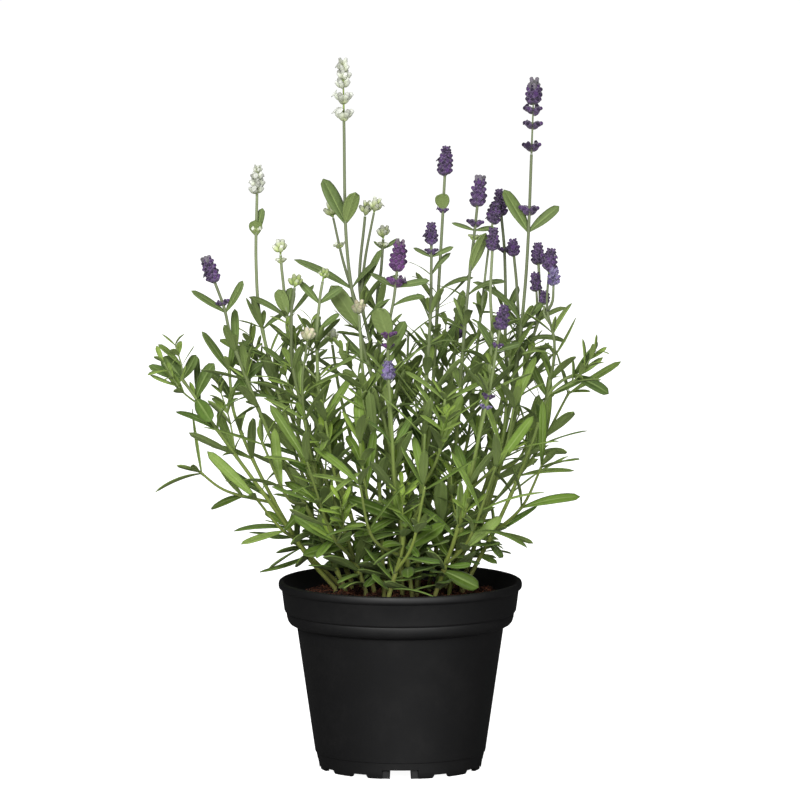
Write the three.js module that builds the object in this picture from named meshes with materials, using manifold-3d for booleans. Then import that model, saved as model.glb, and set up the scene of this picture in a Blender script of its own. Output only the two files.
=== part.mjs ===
// Potted lavender: a moulded nursery pot of coir soil, with leafy stems that carry
// white and purple flower spikes. Millimetres, +Z up.
import * as THREE from 'three';
import { mergeVertices } from 'three/addons/utils/BufferGeometryUtils.js';
import Module from 'manifold-3d';

const wasm = await Module();
wasm.setup();

// ---- Driving dimensions ---------------------------------------------------------------

const POT_SIDES = 36;
const POT_WALL = 1.2;
const LIP_RADIUS = 60.3;
const LIP_TOP = 93.2;
const COLLAR_FOOT = 71;
const COLLAR_RADIUS = 56.7;
const BODY_TOP_RADIUS = 51.2;
const BODY_FOOT_RADIUS = 42.3;
const FOOT_RADIUS = 40.3;
const FLOOR_HEIGHT = 5;
const FOOT_COUNT = 12;
const NOTCH_HEIGHT = 1.7;
const SLOT_HEIGHT = 4.45;
const SLOT_WIDTH = 10.4;
const DRAIN_RADIUS = 4.5;
const DRAIN_RING = 24;
const DRAIN_COUNT = 6;

const FIT = 0.3; // gap that pieces which touch keep
const SOIL_SIDES = 18;
const SOIL_EDGE = 84;
const SOIL_CROWN = 88;
const SOIL_RADIUS = COLLAR_RADIUS - POT_WALL - FIT - 0.9;
const HOLE_DEPTH = 12;

const STEM_RISE = 2.2; // a stem stands plumb this far over the soil before it leans
const STEM_FOOT_RADIUS = 1.55;
const STEM_TIP_RADIUS = 1.0;
const SHOOT_FOOT_RADIUS = 1.15;
const SHOOT_TIP_RADIUS = 0.8;
const STEPS_PER_SPAN = 8; // points on a stem's line between two points of its route
const LONGEST_STEP = 34; // between two rings of a stem's solid

// Stations along a blade as [share of the length, share of the width]. The root is a
// point inside the stem, and the first station is just outside it.
const LONG_BLADE = [[0.1, 0.34], [0.34, 0.84], [0.68, 1]];
const SHORT_BLADE = [[0.16, 0.4], [0.6, 1]];
const LONG_FROM = 30;
const BLADE_DEPTH = 0.95; // keel of a blade, measured from its flat upper face
const LEAST_ARCH = 0.05;
const NAMED_ROLL = 0.75; // turns the faces of the leaves set by hand towards the viewer
const NAMED_TWIST = 0.2;

// A leaf that has no room is tried again: swung round and opened by these degrees, and at
// last made shorter by this share.
const TRIES = [
  [0, 0, 1], [14, 5, 1], [-14, 5, 1], [27, -7, 1], [-27, -7, 1], [40, 10, 0.9],
  [-40, 10, 0.9], [18, -12, 0.75], [-18, 16, 0.75], [6, 6, 0.55],
];
const CLEARANCE = 2.7; // between the sampled points of blades on different plants
const OWN_CLEARANCE = 2; // the same on one plant
const OWN_BLOOM_CLEARANCE = 2.4; // a leaf from the head on its own stem
const SAMPLE_STEP = 2; // between the sampled points of a stem or a flower
const MAIN_INTERNODE = 45;
const SIDE_INTERNODE = 24;
const FIRST_PAIR = 10;
const BARE_LENGTH = 26; // under a flower, where no common pair grows
const BARE_HEIGHT = 226; // flowering stems carry no leaf pairs of the common kind above this

const BUDS = 5; // florets in a whorl
const BUD_LIFT = 1; // a floret's tip stands this far over its root
const SEAT_RADIUS = 1.2;
const CORE_SHARE = 0.45; // radius of a head's core as a share of its florets' reach
const FIRST_WHORL = 1.6; // height of the lowest florets over a head's foot
const LOOSE_LENGTH = 20; // longer spikes have their lower whorls apart
const COLLAR_HALF = 1.6;

// ---- Random draws and small vector helpers ---------------------------------------------

function dice(seed) {
  let state = seed >>> 0;
  return () => {
    state = (state + 0x6d2b79f5) >>> 0;
    let mixed = Math.imul(state ^ (state >>> 15), 1 | state);
    mixed = (mixed + Math.imul(mixed ^ (mixed >>> 7), 61 | mixed)) ^ mixed;
    return ((mixed ^ (mixed >>> 14)) >>> 0) / 4294967296;
  };
}

const radians = (degrees) => (degrees * Math.PI) / 180;
const vec = (x, y, z) => new THREE.Vector3(x, y, z);
const mix = (a, b, share) => a + (b - a) * share;
const clamp = (value, low, high) => Math.min(high, Math.max(low, value));

// The two directions across a stem that runs along `along`: left, and towards the viewer.
function across(along) {
  const left = along.clone().cross(vec(0, 1, 0)).normalize();
  const front = along.clone().cross(left);
  return { left, front };
}

// ---- Closed meshes ----------------------------------------------------------------------

// A solid through rings of equal point count, closed by a fan at each end.
function loft(rings, start, end) {
  const count = rings[0].length;
  const points = [start, ...rings.flat(), end];
  const last = points.length - 1;
  const at = (ring, index) => 1 + ring * count + (index % count);
  const faces = [];
  for (let i = 0; i < count; i += 1) {
    faces.push(0, at(0, i + 1), at(0, i));
    faces.push(last, at(rings.length - 1, i), at(rings.length - 1, i + 1));
    for (let ring = 0; ring + 1 < rings.length; ring += 1) {
      faces.push(at(ring, i), at(ring, i + 1), at(ring + 1, i + 1));
      faces.push(at(ring, i), at(ring + 1, i + 1), at(ring + 1, i));
    }
  }
  return solidOf(points, faces);
}

function solidOf(points, faces) {
  const vertProperties = new Float32Array(points.flatMap((p) => [p.x, p.y, p.z]));
  const triVerts = new Uint32Array(faces);
  return new wasm.Manifold(new wasm.Mesh({ numProp: 3, vertProperties, triVerts }));
}

// A three.js geometry as a solid, and a solid as a three.js geometry.
function solidFrom(geometry) {
  const bare = geometry.clone();
  bare.deleteAttribute('normal');
  bare.deleteAttribute('uv');
  const merged = mergeVertices(bare, 1e-4);
  const vertProperties = new Float32Array(merged.attributes.position.array);
  const triVerts = new Uint32Array(merged.index.array);
  return new wasm.Manifold(new wasm.Mesh({ numProp: 3, vertProperties, triVerts }));
}

function geometryOf(solid) {
  const mesh = solid.getMesh();
  const geometry = new THREE.BufferGeometry();
  geometry.setAttribute('position', new THREE.BufferAttribute(mesh.vertProperties, 3));
  geometry.setIndex(new THREE.BufferAttribute(mesh.triVerts, 1));
  return geometry;
}

const joined = (solids) => solids.reduce((all, next) => all.add(next));

// A profile of [radius, height] turned round the pot's axis.
function turned(profile, sides) {
  const outline = profile.map(([radius, height]) => new THREE.Vector2(radius, height));
  return solidFrom(new THREE.LatheGeometry(outline, sides).rotateX(Math.PI / 2));
}

function box(width, depth, height, middle, turn = 0) {
  const geometry = new THREE.BoxGeometry(width, depth, height);
  geometry.translate(middle.x, middle.y, middle.z);
  return solidFrom(geometry.rotateZ(turn));
}

// ---- Pot --------------------------------------------------------------------------------

function potShell() {
  const inner = (radius) => radius - POT_WALL;
  return turned([
    [0, FLOOR_HEIGHT], [FOOT_RADIUS - 2, FLOOR_HEIGHT], [FOOT_RADIUS - 2, 0], [FOOT_RADIUS, 0],
    [FOOT_RADIUS + 0.9, 4], [BODY_FOOT_RADIUS, 8.3], [BODY_TOP_RADIUS, 70.2],
    [BODY_TOP_RADIUS + 0.7, COLLAR_FOOT], [55.3, 73], [56.4, 77.4], [COLLAR_RADIUS + 0.7, 78.9],
    [58.8, 89], [LIP_RADIUS, 89.9], [LIP_RADIUS, 92.2], [59.6, LIP_TOP], [57.8, LIP_TOP],
    [inner(58.6), 88.6], [inner(COLLAR_RADIUS), 78.6], [inner(55.6), 74.2],
    [inner(BODY_TOP_RADIUS), 72.2],
    [inner(BODY_FOOT_RADIUS), FLOOR_HEIGHT + POT_WALL], [0, FLOOR_HEIGHT + POT_WALL],
  ], POT_SIDES);
}

// The foot ring is cut into twelve feet. Four of the gaps between them are tall drain slots.
function footGaps() {
  const gaps = [];
  const narrow = 2 * FOOT_RADIUS * Math.sin(Math.PI / FOOT_COUNT / 2);
  for (let i = 0; i < FOOT_COUNT; i += 1) {
    const isSlot = i % 3 === 0;
    const height = isSlot ? SLOT_HEIGHT : NOTCH_HEIGHT;
    const width = isSlot ? SLOT_WIDTH : narrow;
    const turn = (i * 2 * Math.PI) / FOOT_COUNT;
    gaps.push(box(8, width, height + 1, vec(FOOT_RADIUS - 0.5, 0, (height - 1) / 2), turn));
  }
  return gaps;
}

function drainHoles() {
  const places = [vec(0, 0, 0)];
  for (let i = 0; i < DRAIN_COUNT; i += 1) {
    const turn = ((i + 0.5) * 2 * Math.PI) / DRAIN_COUNT;
    places.push(vec(DRAIN_RING * Math.cos(turn), DRAIN_RING * Math.sin(turn), 0));
  }
  return places.map((place) => {
    const plug = new THREE.CylinderGeometry(DRAIN_RADIUS, DRAIN_RADIUS, 4, 6).rotateX(Math.PI / 2);
    return solidFrom(plug.translate(place.x, place.y, FLOOR_HEIGHT + POT_WALL / 2));
  });
}

function pot() {
  return potShell().subtract(joined(footGaps())).subtract(joined(drainHoles()));
}

// ---- Soil -------------------------------------------------------------------------------

// Height of the soil: a low mound with lumps.
function soilHeight(x, y) {
  const spread = Math.min(1, Math.hypot(x, y) / SOIL_RADIUS);
  const mound = SOIL_EDGE + (SOIL_CROWN - SOIL_EDGE) * (1 - spread * spread);
  const lumps = 0.9 * Math.sin(0.31 * x + 0.7) * Math.cos(0.27 * y - 0.4);
  return mound + lumps + 0.5 * Math.sin(0.9 * x + 0.5 * y);
}

function soilBody() {
  const floor = FLOOR_HEIGHT + POT_WALL + FIT;
  const slack = POT_WALL + FIT;
  const sideRings = [
    [BODY_FOOT_RADIUS - slack, floor], [BODY_TOP_RADIUS - slack, 72.6],
    [55.3 - slack, 75], [SOIL_RADIUS, SOIL_EDGE - 4],
  ];
  const topRadii = [SOIL_RADIUS, 42, 28, 13];
  const circle = (radius, height) => Array.from({ length: SOIL_SIDES }, (_, i) => {
    const turn = (i * 2 * Math.PI) / SOIL_SIDES;
    const [x, y] = [radius * Math.cos(turn), radius * Math.sin(turn)];
    return vec(x, y, height ?? soilHeight(x, y));
  });
  const rings = [
    ...sideRings.map(([radius, height]) => circle(radius, height)),
    ...topRadii.map((radius) => circle(radius)),
  ];
  return loft(rings, vec(0, 0, floor), vec(0, 0, soilHeight(0, 0)));
}

// A square hole for each stem's foot, open at the top.
function stemHole([x, y]) {
  const up = vec(0, 0, 1);
  const bottom = vec(x, y, soilHeight(x, y) - HOLE_DEPTH - FIT);
  const top = vec(x, y, SOIL_CROWN + 6);
  const radius = STEM_FOOT_RADIUS + FIT * Math.SQRT2;
  return loft([square(bottom, up, radius), square(top, up, radius)], bottom, top);
}

function soil(feet) {
  return feet.map(stemHole).reduce((body, hole) => body.subtract(hole), soilBody());
}

// ---- Stems: where each one runs ------------------------------------------------------------

// Each stem has a foot [x, y] in the soil, or grows on another stem at a share of its length,
// and runs through the points of its route. `bloom` is [colour, length, radius, whorls].
// `leaves` are single leaves: [distance below the tip, direction round the stem, length,
// width, opening, arch], with directions in degrees: 0 left, 90 front, 180 right, 270 back.
// `collar` is a ring of florets round the stem: [distance below the tip, radius].
const STEMS = [
  { name: 'tall_white', foot: [1, -22], route: [[-1, -18, 136], [-7, -12, 170], [-20, -2, 218],
    [-26.5, 4, 260], [-27.8, 9, 321.5]], bloom: ['white', 31, 4.4, 4],
    leaves: [[51.5, 335, 25, 8.5, 25, 4], [51.5, 125, 18, 7.5, 30, 6], [84, 0, 32, 6, 46, 16],
      [84, 190, 22, 5, 34, 20], [104, 40, 26, 9, 24, 6]] },
  { name: 'white_behind', on: ['tall_white', 0.62], route: [[-28.3, 14, 250.6],
    [-33.2, 20, 271.3]], bloom: ['white', 8.3, 3.6, 3] },
  { name: 'twin_white', foot: [-6, -11], route: [[-4, -6, 150], [-12, 2, 199],
    [-20, 4, 237], [-17.4, 7, 273.4]], bloom: ['white', 8, 3.4, 3],
    leaves: [[38, 175, 24, 4.6, 30, 4], [38, 15, 13, 3, 42, 4]] },
  { name: 'twin_white_right', on: ['twin_white', 0.79], route: [[-17, 1, 255],
    [-13, -1.8, 275.9]], bloom: ['white', 8, 3.4, 3] },
  { name: 'far_white', foot: [-24, 10], route: [[-54.5, 12, 167], [-68.3, 14, 216.6],
    [-71.3, 15, 248], [-70.8, 15, 284]], bloom: ['white', 13.5, 4.4, 4],
    leaves: [[21, 80, 8.5, 6.5, 16, 10], [21, 215, 14, 4.2, 12, 6]] },
  { name: 'left_white', foot: [-19, 2], route: [[-40.7, 3, 144], [-53.5, 3, 208],
    [-58, 3, 243], [-59, 3, 254.5]], bloom: ['white', 8, 3.6, 3],
    leaves: [[4, 5, 11, 3.2, 40, 4], [4, 178, 8.5, 3, 34, 4], [30, 40, 14, 6.5, 12, 4],
      [30, 200, 14, 6, 16, 4]] },
  { name: 'front_white', foot: [-17, -17], route: [[-49.5, -13, 185], [-53.5, -13, 222],
    [-52, -14, 240]], bloom: ['white', 7, 3.5, 3],
    leaves: [[3, 10, 10, 2.6, 26, 4], [3, 190, 9, 3, 44, 4], [131, 15, 24, 9, 80, 8]] },
  { name: 'low_white', on: ['front_white', 0.22], route: [[-42, -23, 150], [-48, -26, 190],
    [-45.6, -26, 214.8]], bloom: ['white', 7, 3.5, 3], leaves: [[3, 178, 14, 3, 44, 4]] },
  { name: 'green_bud', foot: [-13, -7], route: [[-37, -8, 169.6], [-41, -10, 209.7],
    [-39.7, -11, 233], [-38.2, -12, 242.9]], bloom: ['white', 7, 2.4, 3],
    leaves: [[11, 0, 15, 4.4, 42, 6], [11, 182, 14, 4.4, 46, 6]] },
  { name: 'faded_white', foot: [-8, -21], route: [[-11, -21, 151], [-18, -21, 196],
    [-20.2, -21, 227.5]], bloom: ['white', 7.5, 3.4, 3] },
  { name: 'back_white', foot: [-4, 18], route: [[-8, 20, 170.8], [-11.5, 22, 225.5],
    [-9.5, 24, 245], [-8.5, 24, 260.3]], bloom: ['white', 7, 3.3, 3],
    leaves: [[5, 10, 8, 2.2, 34, 4], [5, 175, 10, 2.4, 48, 4]] },
  { name: 'bright_purple', foot: [6, -31], route: [[-4, -30, 162], [-6, -32, 215],
    [-3, -32, 237.6], [-1.6, -32, 250.8]], bloom: ['purple', 16.2, 4.5, 6], collar: [6, 5],
    leaves: [[8.5, 2, 14, 4, 64, 6], [8.5, 184, 17, 4, 68, 10], [35, 50, 19, 9.5, 24, 8],
      [42, 230, 20, 6, 36, 10], [139, 165, 24, 8.5, 62, 6]] },
  { name: 'left_purple', foot: [-27, -7], route: [[-45.6, -8, 129.4], [-61.9, -8, 160.9],
    [-74.2, -8, 190.4], [-83.1, -8, 214.4], [-86.6, -8, 229.4], [-91.3, -8, 242.4]],
    bloom: ['purple', 14.5, 4.3, 5], collar: [12, 3.6],
    leaves: [[16, 0, 20, 4.8, 42, 4], [16, 180, 18, 4.8, 46, -8]] },
  { name: 'tall_purple', foot: [22, 1], route: [[39.4, 2, 123], [51.7, 2, 168],
    [57.6, 3, 202], [61.1, 4, 233], [63.1, 5, 263], [64.6, 5, 304.3]],
    bloom: ['purple', 39, 4.6, 5], collar: [28, 5.2],
    leaves: [[38.5, 335, 24.5, 7.5, 34, 4], [38.5, 195, 20, 5.6, 47, 4], [84, 2, 34, 5.6, 26, 50],
      [84, 190, 15, 5, 36, 10], [2, 10, 9, 2.4, 68, 6]] },
  { name: 'slim_purple', foot: [9, 9], route: [[15.7, 11, 182], [18.6, 12, 232],
    [20.6, 12, 267], [22, 12, 293.6]], bloom: ['purple', 13.5, 4.3, 5],
    leaves: [[17.6, 70, 9, 7, 18, 8]] },
  { name: 'spire_purple', foot: [14, -8], route: [[27, -8, 159.4], [30.5, -8, 204.4],
    [33.4, -7, 239.3], [36.4, -6, 266], [37.9, -6, 280.1]], bloom: ['purple', 16, 4.3, 5],
    collar: [9.5, 4.4],
    leaves: [[12.5, 0, 12, 3, 74, 8], [12.5, 182, 10, 3, 72, 8], [33, 160, 21, 7, 14, 6]] },
  { name: 'pale_purple', on: ['spire_purple', 0.1], route: [[24, 1, 130], [33.4, 4, 163],
    [37.9, 4, 208], [42.8, 4, 252], [45.4, 4, 270.1]], bloom: ['purple', 10, 4.1, 4] },
  { name: 'dark_purple', foot: [18, 20], route: [[49.3, 18, 176], [52, 19, 216],
    [51.7, 20, 252], [50, 20, 272.6]], bloom: ['purple', 12.5, 4, 5], collar: [18, 3.3] },
  { name: 'mid_purple', foot: [24, -12], route: [[38.4, -12, 165], [44.8, -12, 210],
    [44.3, -12, 237], [45.2, -12, 258.2]], bloom: ['purple', 11, 3.9, 4],
    leaves: [[2, 5, 7, 2.4, 60, 6], [2, 182, 8, 2.4, 62, 6]] },
  { name: 'short_purple', foot: [25, 12], route: [[54.2, 12, 177], [58.1, 13, 217],
    [57.7, 14, 236.6], [56.2, 14, 253]], bloom: ['purple', 8, 3.9, 3],
    leaves: [[3, 178, 12, 3.4, 62, 4]] },
  { name: 'forked_purple', foot: [30, 5], route: [[55.2, 6.5, 168], [62.6, 7, 202.6],
    [68.5, 8, 223.4], [69, 9, 234], [68.3, 10, 249.4]], bloom: ['purple', 10, 3.9, 4] },
  { name: 'forked_purple_low', on: ['forked_purple', 0.82], route: [[67.6, 6.2, 229],
    [67.2, 4.6, 236.2]], bloom: ['purple', 9.5, 3.2, 3] },
  { name: 'front_purple', foot: [17, -26], route: [[29.5, -32, 127.6], [38.4, -34, 168],
    [44.3, -34, 195], [46.8, -34, 211], [48.8, -34, 222]], bloom: ['purple', 11.5, 4.1, 4],
    collar: [9, 3], leaves: [[11, 10, 18, 6, 40, 4], [11, 182, 13, 3.4, 60, 8],
      [124, 175, 19, 8, 92, 6]] },
  { name: 'centre_purple', foot: [8, -16], route: [[11.7, -18, 175.7], [14.7, -20, 226],
    [15.2, -20, 252], [15.2, -20, 262]], bloom: ['purple', 10.5, 3.7, 4], collar: [4, 3.4],
    leaves: [[6, 0, 10, 3, 60, 6], [6, 180, 12, 3, 62, 6]] },
  { name: 'low_purple', foot: [-6, -37], route: [[1.3, -38, 118], [-2.6, -42, 144],
    [-4.1, -44, 174], [-5.6, -44, 198.4]], bloom: ['purple', 8.5, 3.7, 3],
    leaves: [[70, 15, 31, 8.5, 52, 4], [68, 350, 22, 5, 106, 6], [84, 40, 19, 8.5, 112, 10]] },
  { name: 'right_shoot', foot: [31, -3], route: [[49, -2, 123.7], [64, -3, 158.8],
    [72, -4, 184], [78.9, -5, 192.6], [85.8, -6, 196.2]],
    leaves: [[1, 0, 21, 5.2, 28, 4], [1, 180, 20, 6, 40, 20], [18, 0, 19, 5.6, 54, -6],
      [18, 182, 22, 3.6, 34, 6]] },
  { name: 'cluster_purple', on: ['right_shoot', 0.84], route: [[75.4, -6, 201.7],
    [75.7, -8, 214.4], [72.5, -9, 227], [72.3, -9, 237], [73.2, -9, 248.1]],
    bloom: ['purple', 10.5, 4.2, 4] },
  { name: 'cluster_purple_right', on: ['cluster_purple', 0.7], route: [[74.8, -14.2, 233.5],
    [75.2, -17, 241.9]], bloom: ['purple', 8.5, 3.5, 3] },
  { name: 'cluster_purple_low', on: ['cluster_purple', 0.6], route: [[71, -5.4, 226],
    [70.9, -4.4, 230.3]], bloom: ['purple', 7, 3, 3] },
  { name: 'left_shoot', foot: [-32, 0], route: [[-44.6, 0, 103.4], [-61.9, -2, 128.7],
    [-81.7, -4, 156.4], [-95.5, -5, 176.3], [-101.5, -6, 185.7], [-108, -6, 194.7]],
    leaves: [[1, 0, 18, 6.4, 30, 4], [1, 182, 14, 6, 70, -10], [1, 280, 16, 8, 26, 6],
      [13, 182, 20, 7, 46, 26], [13, 95, 19, 7.5, 110, 30]] },
  { name: 'left_inner_shoot', foot: [-30, 8.5], route: [[-49.5, 6, 110], [-68.3, 6, 142.8],
    [-81.2, 6, 172.6], [-83.6, 6, 186.6], [-84.6, 6, 197.6]],
    leaves: [[1, 0, 24, 5.6, 28, 4], [1, 181, 17, 4, 12, 4], [12, 182, 22, 6, 42, 20]] },
  { name: 'rear_white', foot: [-12, 27], route: [[-20, 36, 140], [-30, 46, 180],
    [-34, 48, 205]], bloom: ['white', 8, 3.6, 3] },
  { name: 'rear_purple', foot: [8, 29], route: [[16, 40, 140], [24, 50, 180],
    [28, 52, 208]], bloom: ['purple', 11, 4, 4] },
  { name: 'rear_shoot', foot: [-24, 22], route: [[-44, 34, 140], [-56, 44, 175],
    [-62, 47, 192]] },
  { name: 'side_01', on: ['front_white', 0.1], route: [[-34, -36, 122], [-46, -50, 160]] },
  { name: 'side_02', on: ['low_purple', 0.12], route: [[6, -50, 118], [12, -62, 148]] },
  { name: 'side_03', on: ['front_purple', 0.12], route: [[34, -42, 120], [47, -52, 158]] },
  { name: 'side_04', on: ['low_purple', 0.2], route: [[-14, -50, 122], [-20, -57, 150]] },
  { name: 'side_05', on: ['short_purple', 0.2], route: [[64, 14, 150], [84, 13, 186]] },
  { name: 'side_06', on: ['far_white', 0.35], route: [[-60, 18, 176], [-76, 20, 203]] },
  { name: 'side_07', on: ['left_purple', 0.28], route: [[-56, -22, 138], [-68, -28, 166]] },
  { name: 'side_08', on: ['left_inner_shoot', 0.42], route: [[-86, 12, 136],
    [-100, 12, 146]] },
  { name: 'side_09', on: ['rear_shoot', 0.3], route: [[-50, 50, 142], [-58, 60, 172]] },
  { name: 'side_10', on: ['rear_white', 0.25], route: [[-18, 52, 142], [-22, 64, 182]] },
  { name: 'side_11', on: ['rear_purple', 0.25], route: [[18, 54, 140], [20, 66, 184]] },
  { name: 'side_12', on: ['dark_purple', 0.2], route: [[46, 38, 140], [60, 48, 182]] },
  { name: 'side_13', on: ['back_white', 0.3], route: [[2, 32, 168], [4, 36, 212]] },
  { name: 'side_14', on: ['slim_purple', 0.3], route: [[24, 22, 178], [28, 26, 216]] },
  { name: 'side_15', on: ['centre_purple', 0.3], route: [[19, -28, 160], [22, -31, 188]] },
  { name: 'side_16', on: ['green_bud', 0.25], route: [[-32, -24, 148], [-37, -30, 178]] },
  { name: 'side_17', on: ['faded_white', 0.25], route: [[-16, -34, 138], [-20, -40, 168]] },
  { name: 'side_18', on: ['bright_purple', 0.2], route: [[10, -42, 138], [12, -46, 172]] },
  { name: 'side_19', on: ['mid_purple', 0.3], route: [[50, -24, 158], [56, -28, 184]] },
  { name: 'side_20', on: ['right_shoot', 0.25], route: [[60, -16, 132], [70, -22, 154]] },
  { name: 'side_21', on: ['short_purple', 0.35], route: [[60, 24, 152], [70, 30, 180]] },
  { name: 'side_22', on: ['left_shoot', 0.24], route: [[-60, -14, 122], [-72, -20, 138]] },
  { name: 'side_23', on: ['left_white', 0.34], route: [[-42, 20, 168], [-44, 26, 206]] },
  { name: 'side_24', on: ['tall_purple', 0.3], route: [[51, -4, 168], [54, -7, 206]] },
];

// ---- Stems: their lines --------------------------------------------------------------------

// A stem's line as close points with the distance of each from the start.
function lineThrough(points) {
  const curve = new THREE.CatmullRomCurve3(points, false, 'catmullrom', 0.5);
  const steps = (points.length - 1) * STEPS_PER_SPAN;
  const marks = Array.from({ length: steps + 1 }, (_, i) => curve.getPoint(i / steps));
  const reach = [0];
  for (let i = 1; i <= steps; i += 1) {
    reach.push(reach[i - 1] + marks[i].distanceTo(marks[i - 1]));
  }
  return { marks, reach, length: reach[steps] };
}

function placeOn(line, distance) {
  const wanted = clamp(distance, 0, line.length);
  let i = 1;
  while (i < line.reach.length - 1 && line.reach[i] < wanted) i += 1;
  const share = (wanted - line.reach[i - 1]) / (line.reach[i] - line.reach[i - 1]);
  return line.marks[i - 1].clone().lerp(line.marks[i], share);
}

function directionOn(line, distance) {
  const ahead = placeOn(line, Math.min(line.length, distance + 1.5));
  return ahead.sub(placeOn(line, Math.max(0, distance - 1.5))).normalize();
}

function growLines() {
  const stems = new Map();
  STEMS.forEach((spec, index) => {
    const route = spec.route.map(([x, y, z]) => vec(x, y, z));
    let start;
    let plant = spec.name;
    if (spec.foot) {
      const [x, y] = spec.foot;
      start = vec(x, y, soilHeight(x, y) + STEM_RISE);
    } else {
      const parent = stems.get(spec.on[0]);
      plant = parent.plant;
      start = solidMiddle(parent, parent.line.length * spec.on[1]);
    }
    const line = lineThrough([start, ...route]);
    stems.set(spec.name, { ...spec, index, plant, line, distances: ringDistances(line) });
  });
  return stems;
}

const isShoot = (stem) => !stem.foot;

function stemRadius(stem, share) {
  if (isShoot(stem)) return mix(SHOOT_FOOT_RADIUS, SHOOT_TIP_RADIUS, share);
  return mix(STEM_FOOT_RADIUS, STEM_TIP_RADIUS, share);
}

// Lavender stems are square: four corners round the line.
function square(middle, along, radius) {
  const { left, front } = across(along);
  return [[1, 0], [0, 1], [-1, 0], [0, -1]].map(([a, b]) => {
    const corner = middle.clone().addScaledVector(left, a * radius);
    return corner.addScaledVector(front, b * radius);
  });
}

// Distances along a stem where its solid has a ring: its route's points and steps between.
function ringDistances(line) {
  const distances = [0];
  for (let i = STEPS_PER_SPAN; i < line.reach.length; i += STEPS_PER_SPAN) {
    const from = line.reach[i - STEPS_PER_SPAN];
    const steps = Math.max(1, Math.round((line.reach[i] - from) / LONGEST_STEP));
    for (let step = 1; step <= steps; step += 1) {
      distances.push(mix(from, line.reach[i], step / steps));
    }
  }
  return distances;
}

// The middle of a stem's solid, which runs straight from ring to ring.
function solidMiddle(stem, distance) {
  const { line, distances } = stem;
  let i = 1;
  while (i < distances.length - 1 && distances[i] < distance) i += 1;
  const share = (distance - distances[i - 1]) / (distances[i] - distances[i - 1]);
  return placeOn(line, distances[i - 1]).lerp(placeOn(line, distances[i]), share);
}

function stemSolid(stem) {
  const { line } = stem;
  const rings = [];
  if (stem.foot) {
    const up = vec(0, 0, 1);
    const soilTop = line.marks[0].z - STEM_RISE;
    const bottom = vec(stem.foot[0], stem.foot[1], soilTop - HOLE_DEPTH);
    rings.push(square(bottom, up, STEM_FOOT_RADIUS), square(line.marks[0], up, STEM_FOOT_RADIUS));
  } else {
    rings.push(square(line.marks[0], directionOn(line, 2), SHOOT_FOOT_RADIUS));
  }
  stem.distances.slice(1).forEach((distance) => {
    const radius = stemRadius(stem, distance / line.length);
    rings.push(square(placeOn(line, distance), directionOn(line, distance), radius));
  });
  return loft(rings, middleOf(rings[0]), middleOf(rings[rings.length - 1]));
}

function middleOf(ring) {
  return ring.reduce((sum, point) => sum.add(point), vec(0, 0, 0)).divideScalar(ring.length);
}

// ---- Leaves --------------------------------------------------------------------------------

// A blade leaves its stem at `opening` from the stem's direction and arches by `arch` more.
function bladeFrame(leaf, share) {
  const { along, outward, side } = leaf;
  const arch = Math.abs(leaf.arch) < LEAST_ARCH ? LEAST_ARCH : leaf.arch;
  const angle = leaf.opening + arch * share;
  const reach = (leaf.length * (Math.sin(angle) - Math.sin(leaf.opening))) / arch;
  const drop = (leaf.length * (Math.cos(leaf.opening) - Math.cos(angle))) / arch;
  const middle = leaf.root.clone().addScaledVector(along, reach).addScaledVector(outward, drop);
  const face = along.clone().multiplyScalar(Math.sin(angle));
  face.addScaledVector(outward, -Math.cos(angle));
  const turn = leaf.roll + leaf.twist * share;
  const width = side.clone().multiplyScalar(Math.cos(turn)).addScaledVector(face, Math.sin(turn));
  face.multiplyScalar(Math.cos(turn)).addScaledVector(side, -Math.sin(turn));
  return { middle, width, face };
}

function bladeSolid(leaf) {
  const stations = leaf.length >= LONG_FROM ? LONG_BLADE : SHORT_BLADE;
  const rings = stations.map(([share, spread]) => {
    const { middle, width, face } = bladeFrame(leaf, share);
    const half = (leaf.width / 2) * spread;
    const lift = 0.3 + 0.06 * half;
    return [
      middle.clone().addScaledVector(width, half).addScaledVector(face, lift),
      middle.clone().addScaledVector(width, -half).addScaledVector(face, lift),
      middle.clone().addScaledVector(face, lift - BLADE_DEPTH),
    ];
  });
  return loft(rings, leaf.seat, bladeFrame(leaf, 1).middle);
}

function bladePoints(leaf) {
  const points = [];
  for (let i = 0; i < 12; i += 1) {
    const share = 0.14 + (0.86 * i) / 11;
    const { middle, width } = bladeFrame(leaf, share);
    const spread = Math.sin(Math.PI * Math.min(0.96, share * 0.94 + 0.06)) ** 0.6;
    for (let j = -2; j <= 2; j += 1) {
      points.push(middle.clone().addScaledVector(width, (leaf.width / 4) * spread * j));
    }
  }
  return points;
}

// ---- Room: what is taken already -------------------------------------------------------------

const taken = [];

function claim(owner, kind, points, pad) {
  const bounds = new THREE.Box3().setFromPoints(points);
  taken.push({ plant: owner.plant, name: owner.name, kind, points, pad, bounds });
}

function reachOf(other, stem, ownClearance) {
  if (other.kind === 'bloom' && other.name === stem.name) return OWN_BLOOM_CLEARANCE + other.pad;
  if (other.plant !== stem.plant) return CLEARANCE + other.pad;
  return other.kind === 'stem' && other.name === stem.name ? 0 : ownClearance;
}

function meets(points, bounds, other, reach) {
  if (!other.bounds.clone().expandByScalar(reach).intersectsBox(bounds)) return false;
  const nearest = reach * reach;
  return points.some((p) => other.points.some((q) => p.distanceToSquared(q) < nearest));
}

function clearsPot(points) {
  return points.every((p) => {
    const radius = Math.hypot(p.x, p.y);
    if (radius > LIP_RADIUS + 1.5) return true;
    if (radius > SOIL_RADIUS - 1.5) return p.z > LIP_TOP + 1.2;
    return p.z > soilHeight(p.x, p.y) + 1.4;
  });
}

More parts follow.
